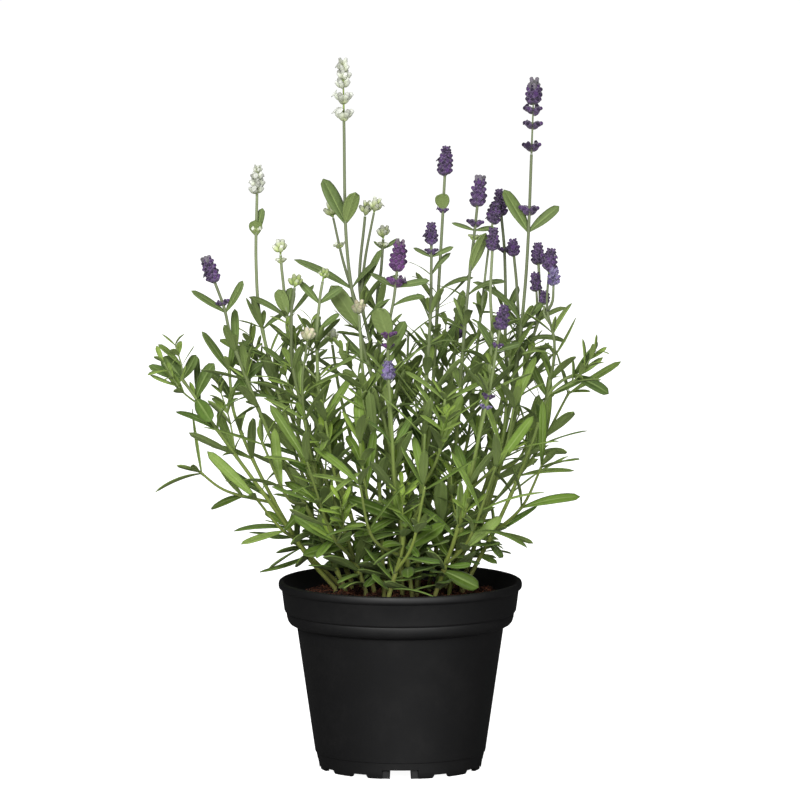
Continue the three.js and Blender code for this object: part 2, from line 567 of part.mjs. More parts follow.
function hasRoom(points, stem, ownClearance) {
  if (!clearsPot(points)) return false;
  const bounds = new THREE.Box3().setFromPoints(points);
  return !taken.some((other) => {
    const reach = reachOf(other, stem, ownClearance);
    return reach > 0 && meets(points, bounds, other, reach);
  });
}

// ---- Leaves: where they grow -----------------------------------------------------------------

function leafAt(stem, distance, direction, shape) {
  const along = directionOn(stem.line, distance);
  const { left, front } = across(along);
  const outward = left.clone().multiplyScalar(Math.cos(direction));
  outward.addScaledVector(front, Math.sin(direction));
  const side = along.clone().cross(outward);
  const root = placeOn(stem.line, distance);
  return { root, seat: solidMiddle(stem, distance), along, outward, side, ...shape };
}

function growLeaf(stem, distance, direction, shape, ownClearance) {
  for (const [swing, open, share] of TRIES) {
    const leaf = leafAt(stem, distance, radians(direction + swing), {
      ...shape,
      length: shape.length * share,
      width: shape.width * Math.sqrt(share),
      opening: shape.opening + radians(open),
    });
    const points = bladePoints(leaf);
    if (hasRoom(points, stem, ownClearance)) {
      claim(stem, 'leaf', points, 0);
      return leaf;
    }
  }
  return null;
}

// Common leaves by height over the table: broad low ones, long middle ones, small top ones.
function commonSize(height, draw) {
  const low = clamp((140 - height) / 40, 0, 1);
  const high = clamp((height - 175) / 45, 0, 1);
  const length = 31 - 6 * low - 9 * high;
  const width = 5 + 1.4 * low - 0.8 * high;
  return { length: length * (0.86 + 0.28 * draw()), width: width * (0.88 + 0.24 * draw()) };
}

// Pairs stand crosswise to the pair below.
function growPairs(stem) {
  const { line } = stem;
  const leaves = [];
  const internode = stem.foot ? MAIN_INTERNODE : SIDE_INTERNODE;
  const first = stem.foot ? FIRST_PAIR + 4 * (stem.index % 3) : FIRST_PAIR;
  const last = line.length - (stem.bloom ? BARE_LENGTH : 2);
  const count = Math.max(1, Math.floor((last - first) / internode) + 1);
  for (let pair = 0; pair < count; pair += 1) {
    const distance = stem.bloom ? first + pair * internode : last - pair * internode;
    const height = placeOn(line, distance).z;
    if (stem.bloom && height > BARE_HEIGHT) break;
    for (let side = 0; side < 2; side += 1) {
      const draw = dice(7919 * (stem.index + 1) + 1049 * (pair + 1) + 31 * side);
      const size = commonSize(height, draw);
      const direction = 90 * pair + 180 * side + 67 * stem.index + 24 * (draw() - 0.5);
      const opening = radians(30 + 22 * draw() + clamp((125 - height) * 0.5, 0, 24));
      const arch = radians(34 * draw() - 4);
      const twist = 0.9 * (draw() - 0.5);
      const shape = { ...size, opening, arch, twist, roll: 0 };
      const leaf = growLeaf(stem, distance, direction, shape, OWN_CLEARANCE);
      if (leaf) leaves.push(leaf);
    }
  }
  return leaves;
}

function growNamedLeaves(stem) {
  return (stem.leaves ?? []).map(([below, direction, length, width, opening, arch]) => {
    const turned = { opening: radians(opening), arch: radians(arch), twist: NAMED_TWIST };
    const isInFront = Math.sin(radians(direction)) > 0.3;
    const roll = (isInFront ? NAMED_ROLL : -NAMED_ROLL) * Math.cos(radians(direction));
    const shape = { length, width, ...turned, roll };
    return growLeaf(stem, stem.line.length - below, direction, shape, 0);
  }).filter((leaf) => leaf);
}

// ---- Flowers ---------------------------------------------------------------------------------

// Heights and radii of a spike's whorls. A long spike has two whorls apart under its head.
function whorlsOf([, length, radius, count]) {
  const loose = length > LOOSE_LENGTH ? [0.1 * length, 0.37 * length] : [];
  const start = loose.length ? 0.56 * length : FIRST_WHORL;
  const pitch = (length - start - 2.2) / (count - 1);
  const whorls = loose.map((height) => ({ height, radius: radius * 0.9, apart: true }));
  for (let i = 0; i < count; i += 1) {
    const share = i / (count - 1);
    const swell = 1 - 0.5 * share ** 2.2 - 0.12 * (1 - share) ** 2;
    whorls.push({ height: start + pitch * i, radius: radius * swell, apart: false });
  }
  return whorls;
}

// A ring round a flower's axis. `shapeAt` gives each point's height and radius.
function flowerRing(base, along, shapeAt) {
  const { left, front } = across(along);
  return Array.from({ length: BUDS * 2 }, (_, i) => {
    const { height, radius } = shapeAt(i);
    const angle = (i * Math.PI) / BUDS;
    const point = base.clone().addScaledVector(along, height);
    point.addScaledVector(left, radius * Math.cos(angle));
    return point.addScaledVector(front, radius * Math.sin(angle));
  });
}

const plainRing = (base, along, height, radius) => (
  flowerRing(base, along, () => ({ height, radius }))
);

// A ring of florets: tips that stand out and up between roots on the core.
function budRing(base, along, whorl, order) {
  const tip = { height: whorl.height + BUD_LIFT, radius: whorl.radius };
  const root = { height: whorl.height, radius: whorl.radius * CORE_SHARE };
  return flowerRing(base, along, (i) => ((i + order) % 2 === 0 ? tip : root));
}

function bloomSolid(stem) {
  const along = directionOn(stem.line, stem.line.length);
  const base = placeOn(stem.line, stem.line.length).addScaledVector(along, FIT);
  const rings = [plainRing(base, along, 0, SEAT_RADIUS)];
  whorlsOf(stem.bloom).forEach((whorl, order) => {
    rings.push(budRing(base, along, whorl, order));
    if (whorl.apart) rings.push(plainRing(base, along, whorl.height + 3, SEAT_RADIUS));
  });
  return loft(rings, middleOf(rings[0]), base.clone().addScaledVector(along, stem.bloom[1]));
}

// The points that stand for a head's room, along its axis from its first florets to its tip.
function bloomPoints(stem) {
  const along = directionOn(stem.line, stem.line.length);
  const tip = placeOn(stem.line, stem.line.length);
  const count = Math.ceil(stem.bloom[1] / SAMPLE_STEP);
  return Array.from({ length: count + 1 }, (_, i) => (
    tip.clone().addScaledVector(along, mix(FIRST_WHORL, stem.bloom[1], i / count))
  ));
}

// The ring of florets round a stem at a leaf pair.
function collarSolid(stem) {
  const [below, radius] = stem.collar;
  const distance = stem.line.length - below;
  const along = directionOn(stem.line, distance);
  const base = solidMiddle(stem, distance);
  const rings = [
    plainRing(base, along, -COLLAR_HALF, STEM_TIP_RADIUS * 0.6),
    budRing(base, along, { height: 0, radius }, 0),
    plainRing(base, along, COLLAR_HALF, STEM_TIP_RADIUS * 0.6),
  ];
  return loft(rings, middleOf(rings[0]), middleOf(rings[2]));
}

// ---- Assembly --------------------------------------------------------------------------------

const COLOURS = {
  pot: { color: '#1d1d1e', roughness: 0.45 },
  soil: { color: '#3a1d13', roughness: 0.95 },
  green: { color: '#6f9152', roughness: 0.7 },
  purple: { color: '#4c3378', roughness: 0.8 },
  white: { color: '#e3e4cb', roughness: 0.8 },
};

function piece(name, solid, finish) {
  const material = new THREE.MeshStandardMaterial({ metalness: 0, ...COLOURS[finish] });
  const mesh = new THREE.Mesh(geometryOf(solid), material);
  mesh.name = name;
  return mesh;
}

const stems = growLines();

stems.forEach((stem) => {
  const count = Math.ceil(stem.line.length / SAMPLE_STEP);
  const marks = Array.from({ length: count + 1 }, (_, i) => (
    placeOn(stem.line, (stem.line.length * i) / count)
  ));
  claim(stem, 'stem', marks, 0.5);
  const bloom = { plant: `bloom_${stem.name}`, name: stem.name };
  if (stem.bloom) claim(bloom, 'bloom', bloomPoints(stem), stem.bloom[2] - 1.4);
});

const solidsByPlant = new Map();
stems.forEach((stem) => {
  const solids = [stemSolid(stem), ...growNamedLeaves(stem).map(bladeSolid)];
  if (stem.collar) solids.push(collarSolid(stem));
  solidsByPlant.set(stem.plant, [...(solidsByPlant.get(stem.plant) ?? []), ...solids]);
});
stems.forEach((stem) => {
  solidsByPlant.get(stem.plant).push(...growPairs(stem).map(bladeSolid));
});

const lavender = new THREE.Group();
lavender.add(piece('pot', pot(), 'pot'));
lavender.add(piece('soil', soil(STEMS.filter((stem) => stem.foot).map(({ foot }) => foot)), 'soil'));
solidsByPlant.forEach((solids, plant) => {
  lavender.add(piece(`stem_${plant}`, joined(solids), 'green'));
});
stems.forEach((stem) => {
  if (stem.bloom) lavender.add(piece(`bloom_${stem.name}`, bloomSolid(stem), stem.bloom[0]));
});

// The origin is under the middle of the whole plant, on the table.
const whole = new THREE.Group();
const bounds = new THREE.Box3().setFromObject(lavender);
lavender.position.set(-(bounds.min.x + bounds.max.x) / 2, -(bounds.min.y + bounds.max.y) / 2, 0);
whole.add(lavender);

export default whole;
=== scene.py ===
"""A young lavender in flower in its black nursery pot, dressed for a product picture.

The plant follows the same routes and the same rule of growth as its solids do, in
millimetres from the pot's axis. Every leafy stem and flower head of the solids is replaced
by a finer one that keeps its form, and small leaves, florets, crumbs and fibres are added.
"""

import logging
import math
from collections.abc import Callable, Iterator
from dataclasses import dataclass, field, replace
from enum import Enum

import bpy
import numpy as np
from mathutils import Matrix, Vector


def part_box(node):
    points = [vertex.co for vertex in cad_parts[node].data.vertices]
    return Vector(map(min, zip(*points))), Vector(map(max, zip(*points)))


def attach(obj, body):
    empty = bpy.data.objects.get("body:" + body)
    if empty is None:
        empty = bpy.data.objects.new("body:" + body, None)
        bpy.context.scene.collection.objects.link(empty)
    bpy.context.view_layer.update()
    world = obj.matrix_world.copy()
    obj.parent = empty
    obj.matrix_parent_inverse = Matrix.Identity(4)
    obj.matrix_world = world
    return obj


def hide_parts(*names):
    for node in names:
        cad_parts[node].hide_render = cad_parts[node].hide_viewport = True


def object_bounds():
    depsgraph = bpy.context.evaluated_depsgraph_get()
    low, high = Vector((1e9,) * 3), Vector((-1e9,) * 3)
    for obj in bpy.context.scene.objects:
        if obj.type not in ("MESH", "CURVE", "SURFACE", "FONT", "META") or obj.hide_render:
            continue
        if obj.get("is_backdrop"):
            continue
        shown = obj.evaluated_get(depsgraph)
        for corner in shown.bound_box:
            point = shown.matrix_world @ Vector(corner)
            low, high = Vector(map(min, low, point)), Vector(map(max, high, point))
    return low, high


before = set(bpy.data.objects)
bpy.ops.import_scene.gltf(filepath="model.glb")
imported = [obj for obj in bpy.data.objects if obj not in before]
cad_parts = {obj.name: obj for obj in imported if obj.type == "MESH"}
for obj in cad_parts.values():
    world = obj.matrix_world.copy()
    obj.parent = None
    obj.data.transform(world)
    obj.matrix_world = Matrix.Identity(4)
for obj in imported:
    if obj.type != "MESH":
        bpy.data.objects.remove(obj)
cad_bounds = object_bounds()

log = logging.getLogger("lavender")

MM = 0.001
NEAR = 0.001
ROOT_BODY = "root"
RGBA = tuple[float, float, float, float]
Draw = Callable[[], float]
Array = np.ndarray
Values = Array | float
Piece = bpy.types.Object
Material = bpy.types.Material
Socket = bpy.types.NodeSocket
Given = Socket | float | RGBA

POT_LOW, POT_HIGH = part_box("pot")
AXIS = np.array([(POT_LOW.x + POT_HIGH.x) / 2, (POT_LOW.y + POT_HIGH.y) / 2, 0.0])


# ---- Numbers and directions ----


def rgb(red: int, green: int, blue: int) -> RGBA:
    """A colour as seen on a screen, from 0 to 255, as the linear values that shaders take."""
    seen = (red / 255, green / 255, blue / 255)
    return (*(c / 12.92 if c <= 0.04045 else ((c + 0.055) / 1.055) ** 2.4 for c in seen), 1.0)


def mix(a: Values, b: Values, share: float) -> Values:
    """The value a share of the way from a to b."""
    return a + (b - a) * share


def clamp(value: float, low: float, high: float) -> float:
    """The value, kept between low and high."""
    return min(high, max(low, value))


def unit(vector: Array) -> Array:
    """The vector at length 1."""
    return vector / math.sqrt(float(vector @ vector))


def across(along: Array) -> tuple[Array, Array]:
    """The two directions across a stem: left, and towards the viewer."""
    left = unit(np.cross(along, (0.0, 1.0, 0.0)))
    return left, np.cross(along, left)


def away(along: Array, turn: float) -> Array:
    """The direction away from a stem, at a turn round it in radians."""
    left, front = across(along)
    return left * math.cos(turn) + front * math.sin(turn)


def dice(seed: int) -> Draw:
    """Makes a seeded source of random shares.

    Args:
        seed: a whole number; the same one gives the same draws.

    Returns:
        A function that gives the next draw, from 0 to 1.
    """
    mask = 0xFFFFFFFF
    state = seed & mask

    def draw() -> float:
        """The next draw."""
        nonlocal state
        state = (state + 0x6D2B79F5) & mask
        mixed = ((state ^ (state >> 15)) * (1 | state)) & mask
        mixed = ((mixed + (((mixed ^ (mixed >> 7)) * (61 | mixed)) & mask)) & mask) ^ mixed
        return ((mixed ^ (mixed >> 14)) & mask) / 4294967296

    return draw


def drawn(draw: Draw, ranges: tuple[tuple, ...]) -> list[float]:
    """A value drawn from each range in turn. A range of one number gives it without a draw."""
    return [mix(*limits, draw()) if len(limits) > 1 else limits[0] for limits in ranges]


# ---- Modelling by hand ----


def set_mode(mode: str) -> None:
    """Goes to object mode or edit mode."""
    bpy.ops.object.mode_set(mode=mode)


def clear_selection() -> None:
    """Leaves edit mode and deselects everything."""
    if bpy.context.object and bpy.context.object.mode != "OBJECT":
        set_mode("OBJECT")
    bpy.ops.object.select_all(action="DESELECT")


def hold(piece: Piece) -> None:
    """Selects one piece alone and makes it the active one.

    Args:
        piece: the piece.
    """
    clear_selection()
    piece.select_set(True)
    bpy.context.view_layer.objects.active = piece


def settle(piece: Piece) -> None:
    """Puts a piece's place and turn into its mesh, so that its object sits at the origin."""
    hold(piece)
    bpy.ops.object.transform_apply(location=True, rotation=True, scale=True)


def start(kind: str, **sizes: object) -> Piece:
    """Adds a primitive, with its place in its mesh.

    Args:
        kind: which primitive, such as "cube".
        sizes: its sizes and its place.

    Returns:
        The new piece, which is the active one.
    """
    clear_selection()
    getattr(bpy.ops.mesh, f"primitive_{kind}_add")(**sizes)
    settle(bpy.context.object)
    return bpy.context.object


def pick(piece: Piece, part: str, wanted: Callable) -> None:
    """Selects some of the active piece's points or edges, and goes to edit mode.

    Args:
        piece: the active mesh object.
        part: "VERT" or "EDGE".
        wanted: tells from a point's place, or from an edge's two places, if it is wanted.
    """
    set_mode("EDIT")
    bpy.ops.mesh.select_mode(type=part)
    bpy.ops.mesh.select_all(action="DESELECT")
    set_mode("OBJECT")
    points = piece.data.vertices
    if part == "VERT":
        for point in points:
            point.select = bool(wanted(point.co))
    else:
        for edge in piece.data.edges:
            edge.select = bool(wanted(*(points[index].co for index in edge.vertices)))
    set_mode("EDIT")


def resize(piece: Piece, wanted: Callable, value: tuple, centre: tuple = (0, 0, 0)) -> None:
    """Scales the points for which wanted(place) is true, about a centre."""
    pick(piece, "VERT", wanted)
    bpy.ops.transform.resize(value=value, center_override=centre)


def is_long(low: Vector, high: Vector) -> bool:
    """True for an edge that runs along a form one unit long."""
    return abs(low.z - high.z) > 0.9


def apply_modifier(piece: Piece, kind: str, **settings: object) -> None:
    """Adds a modifier with its settings and applies it.

    Args:
        piece: the piece.
        kind: the modifier's type, such as "BEVEL".
        settings: the modifier's own properties.
    """
    modifier = piece.modifiers.new(kind.lower(), kind)
    for name, value in settings.items():
        setattr(modifier, name, value)
    hold(piece)
    bpy.ops.object.modifier_apply(modifier=modifier.name)


def turned_piece(name: str, profile: list[tuple[float, float]], sides: int,
                 scale: float = MM, axis: Array = AXIS) -> Piece:
    """Turns a profile round an axis, ring by ring.

    Args:
        name: the piece's name.
        profile: [radius, height] of each ring, round the outline.
        sides: corners of a ring.
        scale: metres to the profile's unit.
        axis: the axis's foot.

    Returns:
        The closed piece, capped by a face at its first and its last ring.
    """
    rings = [(radius * scale, (axis[0], axis[1], height * scale)) for radius, height in profile]
    radius, middle = rings[0]
    piece = start("circle", vertices=sides, radius=radius, fill_type="NGON", location=middle)
    piece.name = name
    set_mode("EDIT")
    bpy.ops.mesh.select_all(action="SELECT")
    for next_radius, next_middle in rings[1:]:
        rise = {"value": (0, 0, next_middle[2] - middle[2])}
        bpy.ops.mesh.extrude_region_move(TRANSFORM_OT_translate=rise)
        share = next_radius / radius
        bpy.ops.transform.resize(value=(share, share, 1), center_override=next_middle)
        radius, middle = next_radius, next_middle
    bpy.ops.mesh.select_all(action="SELECT")
    bpy.ops.mesh.normals_make_consistent(inside=False)
    set_mode("OBJECT")
    return piece


# ---- Node trees ----


class Tree:
    """Short calls that add nodes to one tree and join them."""

    def __init__(self, tree: bpy.types.NodeTree) -> None:
        """Starts with the tree that the nodes go into."""
        self.tree = tree

    def put(self, value: Given, socket: Socket) -> None:
        """Links another node's output to a socket, or sets a plain value on it.

        Args:
            value: another node's output, or a plain value.
            socket: the input that takes it.
        """
        if isinstance(value, Socket):
            self.tree.links.new(value, socket)
        else:
            socket.default_value = value

    def add(self, kind: str, inputs: dict | None = None, **settings: object) -> bpy.types.Node:
        """Adds a node.

        Args:
            kind: the node's type, without the words ShaderNode before it.
            inputs: a value or another node's output for each named input.
            settings: the node's own properties.

        Returns:
            The new node.
        """
        node = self.tree.nodes.new(f"ShaderNode{kind}")
        for name, value in settings.items():
            setattr(node, name, value)
        for name, value in (inputs or {}).items():
            self.put(value, node.inputs[name])
        return node

    def math(self, operation: str, *values: Given, clamped: bool = False) -> Socket:
        """A Math node's result for up to three values or outputs."""
        inputs = dict(enumerate(values))
        return self.add("Math", inputs, operation=operation, use_clamp=clamped).outputs[0]

    def line(self, value: Socket, factor: Given, foot: Given = 0.0) -> Socket:
        """A value times a factor, plus a foot."""
        return self.math("MULTIPLY_ADD", value, factor, foot)

    def blend(self, share: Given, first: Given, second: Given, mode: str = "MIX") -> Socket:
        """A mix of two colours by a share."""
        inputs = {0: share, 6: first, 7: second}
        return self.add("Mix", inputs, data_type="RGBA", blend_type=mode).outputs[2]

    def ramp(self, value: Socket, stops: list[tuple[float, RGBA]]) -> Socket:
        """A colour ramp over a value, with the place and colour of each stop.

        Args:
            value: where on the ramp.
            stops: the place and the colour of each stop, from first to last.

        Returns:
            The colour.
        """
        node = self.add("ValToRGB", {0: value})
        elements = node.color_ramp.elements
        elements[0].position, elements[0].color = stops[0]
        elements[1].position, elements[1].color = stops[-1]
        for place, colour in stops[1:-1]:
            elements.new(place).color = colour
        return node.outputs[0]

    def grey(self, value: Socket, low: float, high: float) -> Socket:
        """0 where a value is at low, 1 where it is at high, smooth between."""
        inputs = {"Value": value, "From Min": low, "From Max": high}
        return self.add("MapRange", inputs, interpolation_type="SMOOTHSTEP").outputs[0]

    def place(self) -> Socket:
        """The piece's own coordinates, in metres."""
        return self.add("TexCoord").outputs["Object"]

    def noise(self, scale: Given, detail: float = 3.0) -> Socket:
        """Noise over the piece's own coordinates, with scale in waves to the metre."""
        inputs = {"Vector": self.place(), "Scale": scale, "Detail": detail}
        return self.add("TexNoise", inputs).outputs[0]

    def growth(self) -> tuple[Socket, ...]:
        """The four channels of a piece's own attribute "growth"."""
        given = self.add("Attribute", attribute_name="growth").outputs
        return (*self.add("SeparateColor", {0: given["Color"]}).outputs[:3], given["Alpha"])


def effect(name: str, inputs: dict[str, float], output: str, make: Callable) -> None:
    """Builds a node group that several finishes share.

    Args:
        name: the group's name.
        inputs: the name and first value of each number that the group takes.
        output: the name of what it gives: "Normal" for a normal, else a number.
        make: adds the group's nodes, from its tree and its inputs, and gives its result.
    """
    tree = bpy.data.node_groups.new(name, "ShaderNodeTree")
    for label, value in inputs.items():
        socket = tree.interface.new_socket(label, in_out="INPUT", socket_type="NodeSocketFloat")
        socket.default_value = value
    kind = "NodeSocketVector" if output == "Normal" else "NodeSocketFloat"
    tree.interface.new_socket(output, in_out="OUTPUT", socket_type=kind)
    given, end = tree.nodes.new("NodeGroupInput").outputs, tree.nodes.new("NodeGroupOutput")
    tree.links.new(make(Tree(tree), *given[: len(inputs)]), end.inputs[0])


def speckle(nodes: Tree, patch_scale: Socket, fleck_share: Socket) -> Socket:
    """Soft patches with finer flecks in them, as a number from 0 to 1."""
    flecks = nodes.math("SUBTRACT", nodes.noise(nodes.line(patch_scale, 7.0)), 0.5)
    return nodes.math("MULTIPLY_ADD", flecks, fleck_share, nodes.noise(patch_scale, 2.0), clamped=True)


def grain(nodes: Tree, scale: Socket, strength: Socket, depth: Socket) -> Socket:
    """A fine uneven skin, as a normal: plastic's grain, or the down on a leaf."""
    inputs = {"Strength": strength, "Distance": depth, "Height": nodes.noise(scale)}
    return nodes.add("Bump", inputs).outputs[0]


def make_effects() -> None:
    """Builds the node groups that the finishes share."""
    effect("speckle", {"Patch Scale": 100.0, "Fleck Share": 0.3}, "Mask", speckle)
    effect("grain", {"Scale": 2000.0, "Strength": 0.2, "Depth": 0.0001}, "Normal", grain)


class Surface(Tree):
    """A material as it is built: its nodes, its shader, and a speckle all over it."""

    def __init__(self, name: str, patches: tuple[float, float],
                 shine: float = 0.5, sheen: float = 0.0) -> None:
        """Starts a material.

        Args:
            name: the material's name.
            patches: the speckle's waves to the metre, and its share of fine flecks.
            shine: the shader's specular level.
            sheen: the shader's sheen.
        """
        self.material = bpy.data.materials.new(name)
        self.material.use_nodes = True
        super().__init__(self.material.node_tree)
        self.shader = self.tree.nodes["Principled BSDF"].inputs
        self.shader["Specular IOR Level"].default_value = shine
        self.shader["Sheen Weight"].default_value = sheen
        self.mask = self.shared("speckle", *patches)

    def shared(self, name: str, *values: float) -> Socket:
        """What a shared effect gives for its inputs."""
        group = bpy.data.node_groups[name]
        return self.add("Group", dict(enumerate(values)), node_tree=group).outputs[0]

    def flecked(self, value: Socket, share: float) -> Socket:
        """A value with a share of the speckle round it."""
        return self.math("ADD", value, self.line(self.mask, share, -0.5 * share))

    def finish(self, colour: Socket, rough: tuple[float, float], skin: tuple[float, float, float],
               height: Socket | None = None) -> Material:
        """Joins the looks to the shader.

        Args:
            colour: the base colour.
            rough: the least roughness, and what the speckle adds to it.
            skin: the grain's waves to the metre, strength and depth in metres.
            height: larger relief, such as veins.

        Returns:
            The material.
        """
        normal = self.shared("grain", *skin)
        if height:
            relief = {"Strength": 0.5, "Distance": 0.0003, "Height": height, "Normal": normal}
            normal = self.add("Bump", relief).outputs[0]
        self.put(colour, self.shader["Base Color"])
        self.put(self.line(self.mask, rough[1], rough[0]), self.shader["Roughness"])
        self.put(normal, self.shader["Normal"])
        return self.material


# ---- Finishes ----


@dataclass(frozen=True)
class PotPlastic:
    """Black moulded plastic with a satin skin, a little dust and fine scuffs."""

    black: RGBA = rgb(9, 9, 10)
    dusty: RGBA = rgb(18, 17, 17)
    roughness: float = 0.52
    shine: float = 0.5

    def material(self) -> Material:
        """Builds the material.

        Returns:
            The material.
        """
        skin = Surface("pot_plastic", (45.0, 0.5), self.shine)
        dust = skin.line(skin.grey(skin.mask, 0.5, 0.8), 0.5)
        colour = skin.blend(dust, self.black, self.dusty)
        return skin.finish(colour, (self.roughness, 0.12), (2600.0, 0.12, 0.00008))


@dataclass(frozen=True)
class CoirSoil:
    """Damp coir: near-black crumbs, red-brown pith and paler fibres."""

    dark: RGBA = rgb(15, 6, 4)
    brown: RGBA = rgb(43, 19, 12)
    pale: RGBA = rgb(104, 62, 40)

    def material(self) -> Material:
        """Builds the material. The first channel of "growth" is a crumb's own lightness.

        Returns:
            The material.
        """
        skin = Surface("coir_soil", (160.0, 1.2), 0.25)
        tone = skin.math("ADD", skin.line(skin.mask, 0.55, -0.08), skin.growth()[0])
        colour = skin.ramp(tone, [(0.18, self.dark), (0.42, self.brown), (0.95, self.pale)])
        return skin.finish(colour, (0.72, 0.2), (1500.0, 0.9, 0.0005))


@dataclass(frozen=True)
class LeafSkin:
    """Grey-green leaves with a pale midrib, a paler underside and a fine down."""

    deep: RGBA = rgb(46, 68, 12)
    common: RGBA = rgb(78, 106, 36)
    light: RGBA = rgb(120, 142, 72)
    young: RGBA = rgb(130, 156, 54)
    rib: RGBA = rgb(146, 166, 100)
    under: RGBA = rgb(118, 134, 78)
    greyed: RGBA = rgb(100, 110, 76)

    def material(self) -> Material:
        """Builds the material.

        The attribute "growth" holds the place across a leaf, the place along it, the leaf's
        own tone and its youth. "under" is 1 on its underside.

        Returns:
            The material.
        """
        skin = Surface("leaf_skin", (260.0, 0.5), 0.25, 0.04)
        side, along, tone, youth = skin.growth()
        off_rib = skin.math("ABSOLUTE", skin.math("SUBTRACT", side, 0.5))
        height = skin.add("SeparateXYZ", {0: skin.place()}).outputs["Z"]
        rib = skin.math("SUBTRACT", 1.0, skin.grey(off_rib, 0.02, 0.1))
        below = skin.add("Attribute", attribute_name="under").outputs["Fac"]
        stops = [(0.0, self.deep), (0.5, self.common), (1.0, self.light)]
        colour = skin.ramp(skin.flecked(tone, 0.5), stops)
        for share, over in (
            (youth, self.young),
            (skin.line(skin.grey(height, 0.15, 0.26), 0.5), self.greyed),
            (skin.math("MULTIPLY", rib, skin.line(along, -0.55, 0.75)), self.rib),
            (skin.line(skin.grey(off_rib, 0.4, 0.5), 0.25), self.under),
            (skin.line(below, 0.7), self.under),
        ):
            colour = skin.blend(share, colour, over)
        slant = skin.math("SUBTRACT", skin.line(along, 46.0), skin.line(off_rib, 18.0))
        veins = skin.line(skin.math("SINE", slant), 0.18, skin.grey(off_rib, 0.0, 0.07))
        return skin.finish(colour, (0.5, 0.2), (2400.0, 0.35, 0.00012), veins)


@dataclass(frozen=True)
class StemSkin:
    """Square green stems: woody at the foot, yellow-green above, grey-green near a flower."""

    woody: RGBA = rgb(88, 82, 42)
    low: RGBA = rgb(112, 124, 48)
    middle: RGBA = rgb(108, 126, 60)
    high: RGBA = rgb(110, 120, 86)

    def material(self) -> Material:
        """Builds the material. "growth" holds the side, the height share and the tone.

        Returns:
            The material.
        """
        skin = Surface("stem_skin", (200.0, 0.8), 0.35, 0.1)
        _, height, tone, _ = skin.growth()
        stops = [(0.0, self.woody), (0.1, self.low), (0.45, self.middle), (0.8, self.high)]
        colour = skin.ramp(skin.flecked(height, 0.16), stops)
        colour = skin.blend(1.0, colour, skin.line(tone, 0.5, 0.72), mode="MULTIPLY")
        return skin.finish(colour, (0.5, 0.2), (3000.0, 0.35, 0.0001))


@dataclass(frozen=True)
class FloretSkin:
    """Downy calyces with the buds or petals that come out of them."""

    name: str
    axis: RGBA
    calyx_foot: RGBA
    calyx: RGBA
    calyx_rim: RGBA
    petal: RGBA
    petal_light: RGBA

    def material(self) -> Material:
        """Builds the material. "growth": place along, tone, share of petal and of green.

        Returns:
            The material.
        """
        skin = Surface(self.name, (700.0, 0.6), 0.3, 0.25)
        along, tone, petal, green = skin.growth()
        bright = skin.flecked(tone, 0.7)
        stops = [(0.0, self.calyx_foot), (0.45, self.calyx), (1.0, self.calyx_rim)]
        corolla = skin.ramp(bright, [(0.1, self.petal), (1.0, self.petal_light)])
        colour = skin.blend(petal, skin.ramp(along, stops), corolla)
        colour = skin.blend(green, colour, self.axis)
        colour = skin.blend(1.0, colour, skin.line(bright, 0.55, 0.7), mode="MULTIPLY")
        return skin.finish(colour, (0.6, 0.2), (4200.0, 0.5, 0.00015))


class Bloom(Enum):
    """The flower colours in the pot, each with its finish and the record's slot."""

    PURPLE = FloretSkin("purple_florets", rgb(106, 118, 84), rgb(90, 88, 76), rgb(62, 43, 78),
                        rgb(98, 78, 114), rgb(36, 18, 52), rgb(70, 42, 90))
    BRIGHT = FloretSkin("bright_florets", rgb(108, 120, 78), rgb(92, 78, 76), rgb(72, 36, 82),
                        rgb(104, 70, 114), rgb(48, 18, 62), rgb(94, 46, 106))
    LILAC = FloretSkin("lilac_florets", rgb(108, 124, 88), rgb(110, 116, 98), rgb(98, 90, 126),
                       rgb(134, 126, 158), rgb(62, 46, 94), rgb(112, 96, 140))
    WHITE = FloretSkin("white_florets", rgb(128, 146, 74), rgb(138, 150, 88), rgb(168, 173, 148),
                       rgb(184, 188, 174), rgb(168, 170, 158), rgb(196, 198, 190))
    CREAM = FloretSkin("cream_florets", rgb(124, 146, 68), rgb(122, 144, 62), rgb(156, 168, 108),
                       rgb(176, 182, 152), rgb(166, 170, 148), rgb(192, 195, 180))
    GREEN = FloretSkin("green_florets", rgb(118, 142, 62), rgb(118, 142, 60), rgb(140, 160, 82),
                       rgb(156, 172, 104), rgb(158, 168, 122), rgb(176, 184, 150))
    BEIGE = FloretSkin("beige_florets", rgb(118, 134, 72), rgb(130, 142, 84), rgb(154, 156, 118),
                       rgb(170, 168, 138), rgb(158, 150, 120), rgb(184, 176, 152))

    @property
    def slot(self) -> str:
        """The record's material slot."""
        is_purple = self in (Bloom.PURPLE, Bloom.BRIGHT, Bloom.LILAC)
        return "purple_bloom" if is_purple else "white_bloom"


@dataclass(frozen=True)
class FloorPaper:
    """A plain pale studio floor, near white in the picture and dull in reflections."""

    white: RGBA = rgb(190, 190, 190)
    patch: RGBA = rgb(180, 180, 180)
    reflected: RGBA = rgb(20, 20, 20)
    glow: float = 0.96

    def material(self) -> Material:
        """Builds the material. Its glow is seen by the camera only and lights nothing.

        Returns:
            The material.
        """
        paper = Surface("floor_paper", (3.0, 0.1))
        colour = paper.blend(paper.line(paper.mask, 0.05), self.white, self.patch)
        path = paper.add("LightPath").outputs
        colour = paper.blend(paper.line(path["Is Glossy Ray"], 0.9), colour, self.reflected)
        paper.put(colour, paper.shader["Base Color"])
        paper.put(0.9, paper.shader["Roughness"])
        paper.put(paper.line(path["Is Camera Ray"], self.glow), paper.shader["Emission Strength"])
        paper.put((1, 1, 1, 1), paper.shader["Emission Color"])
        return paper.material


# ---- Shapes that are modelled once and copied ----


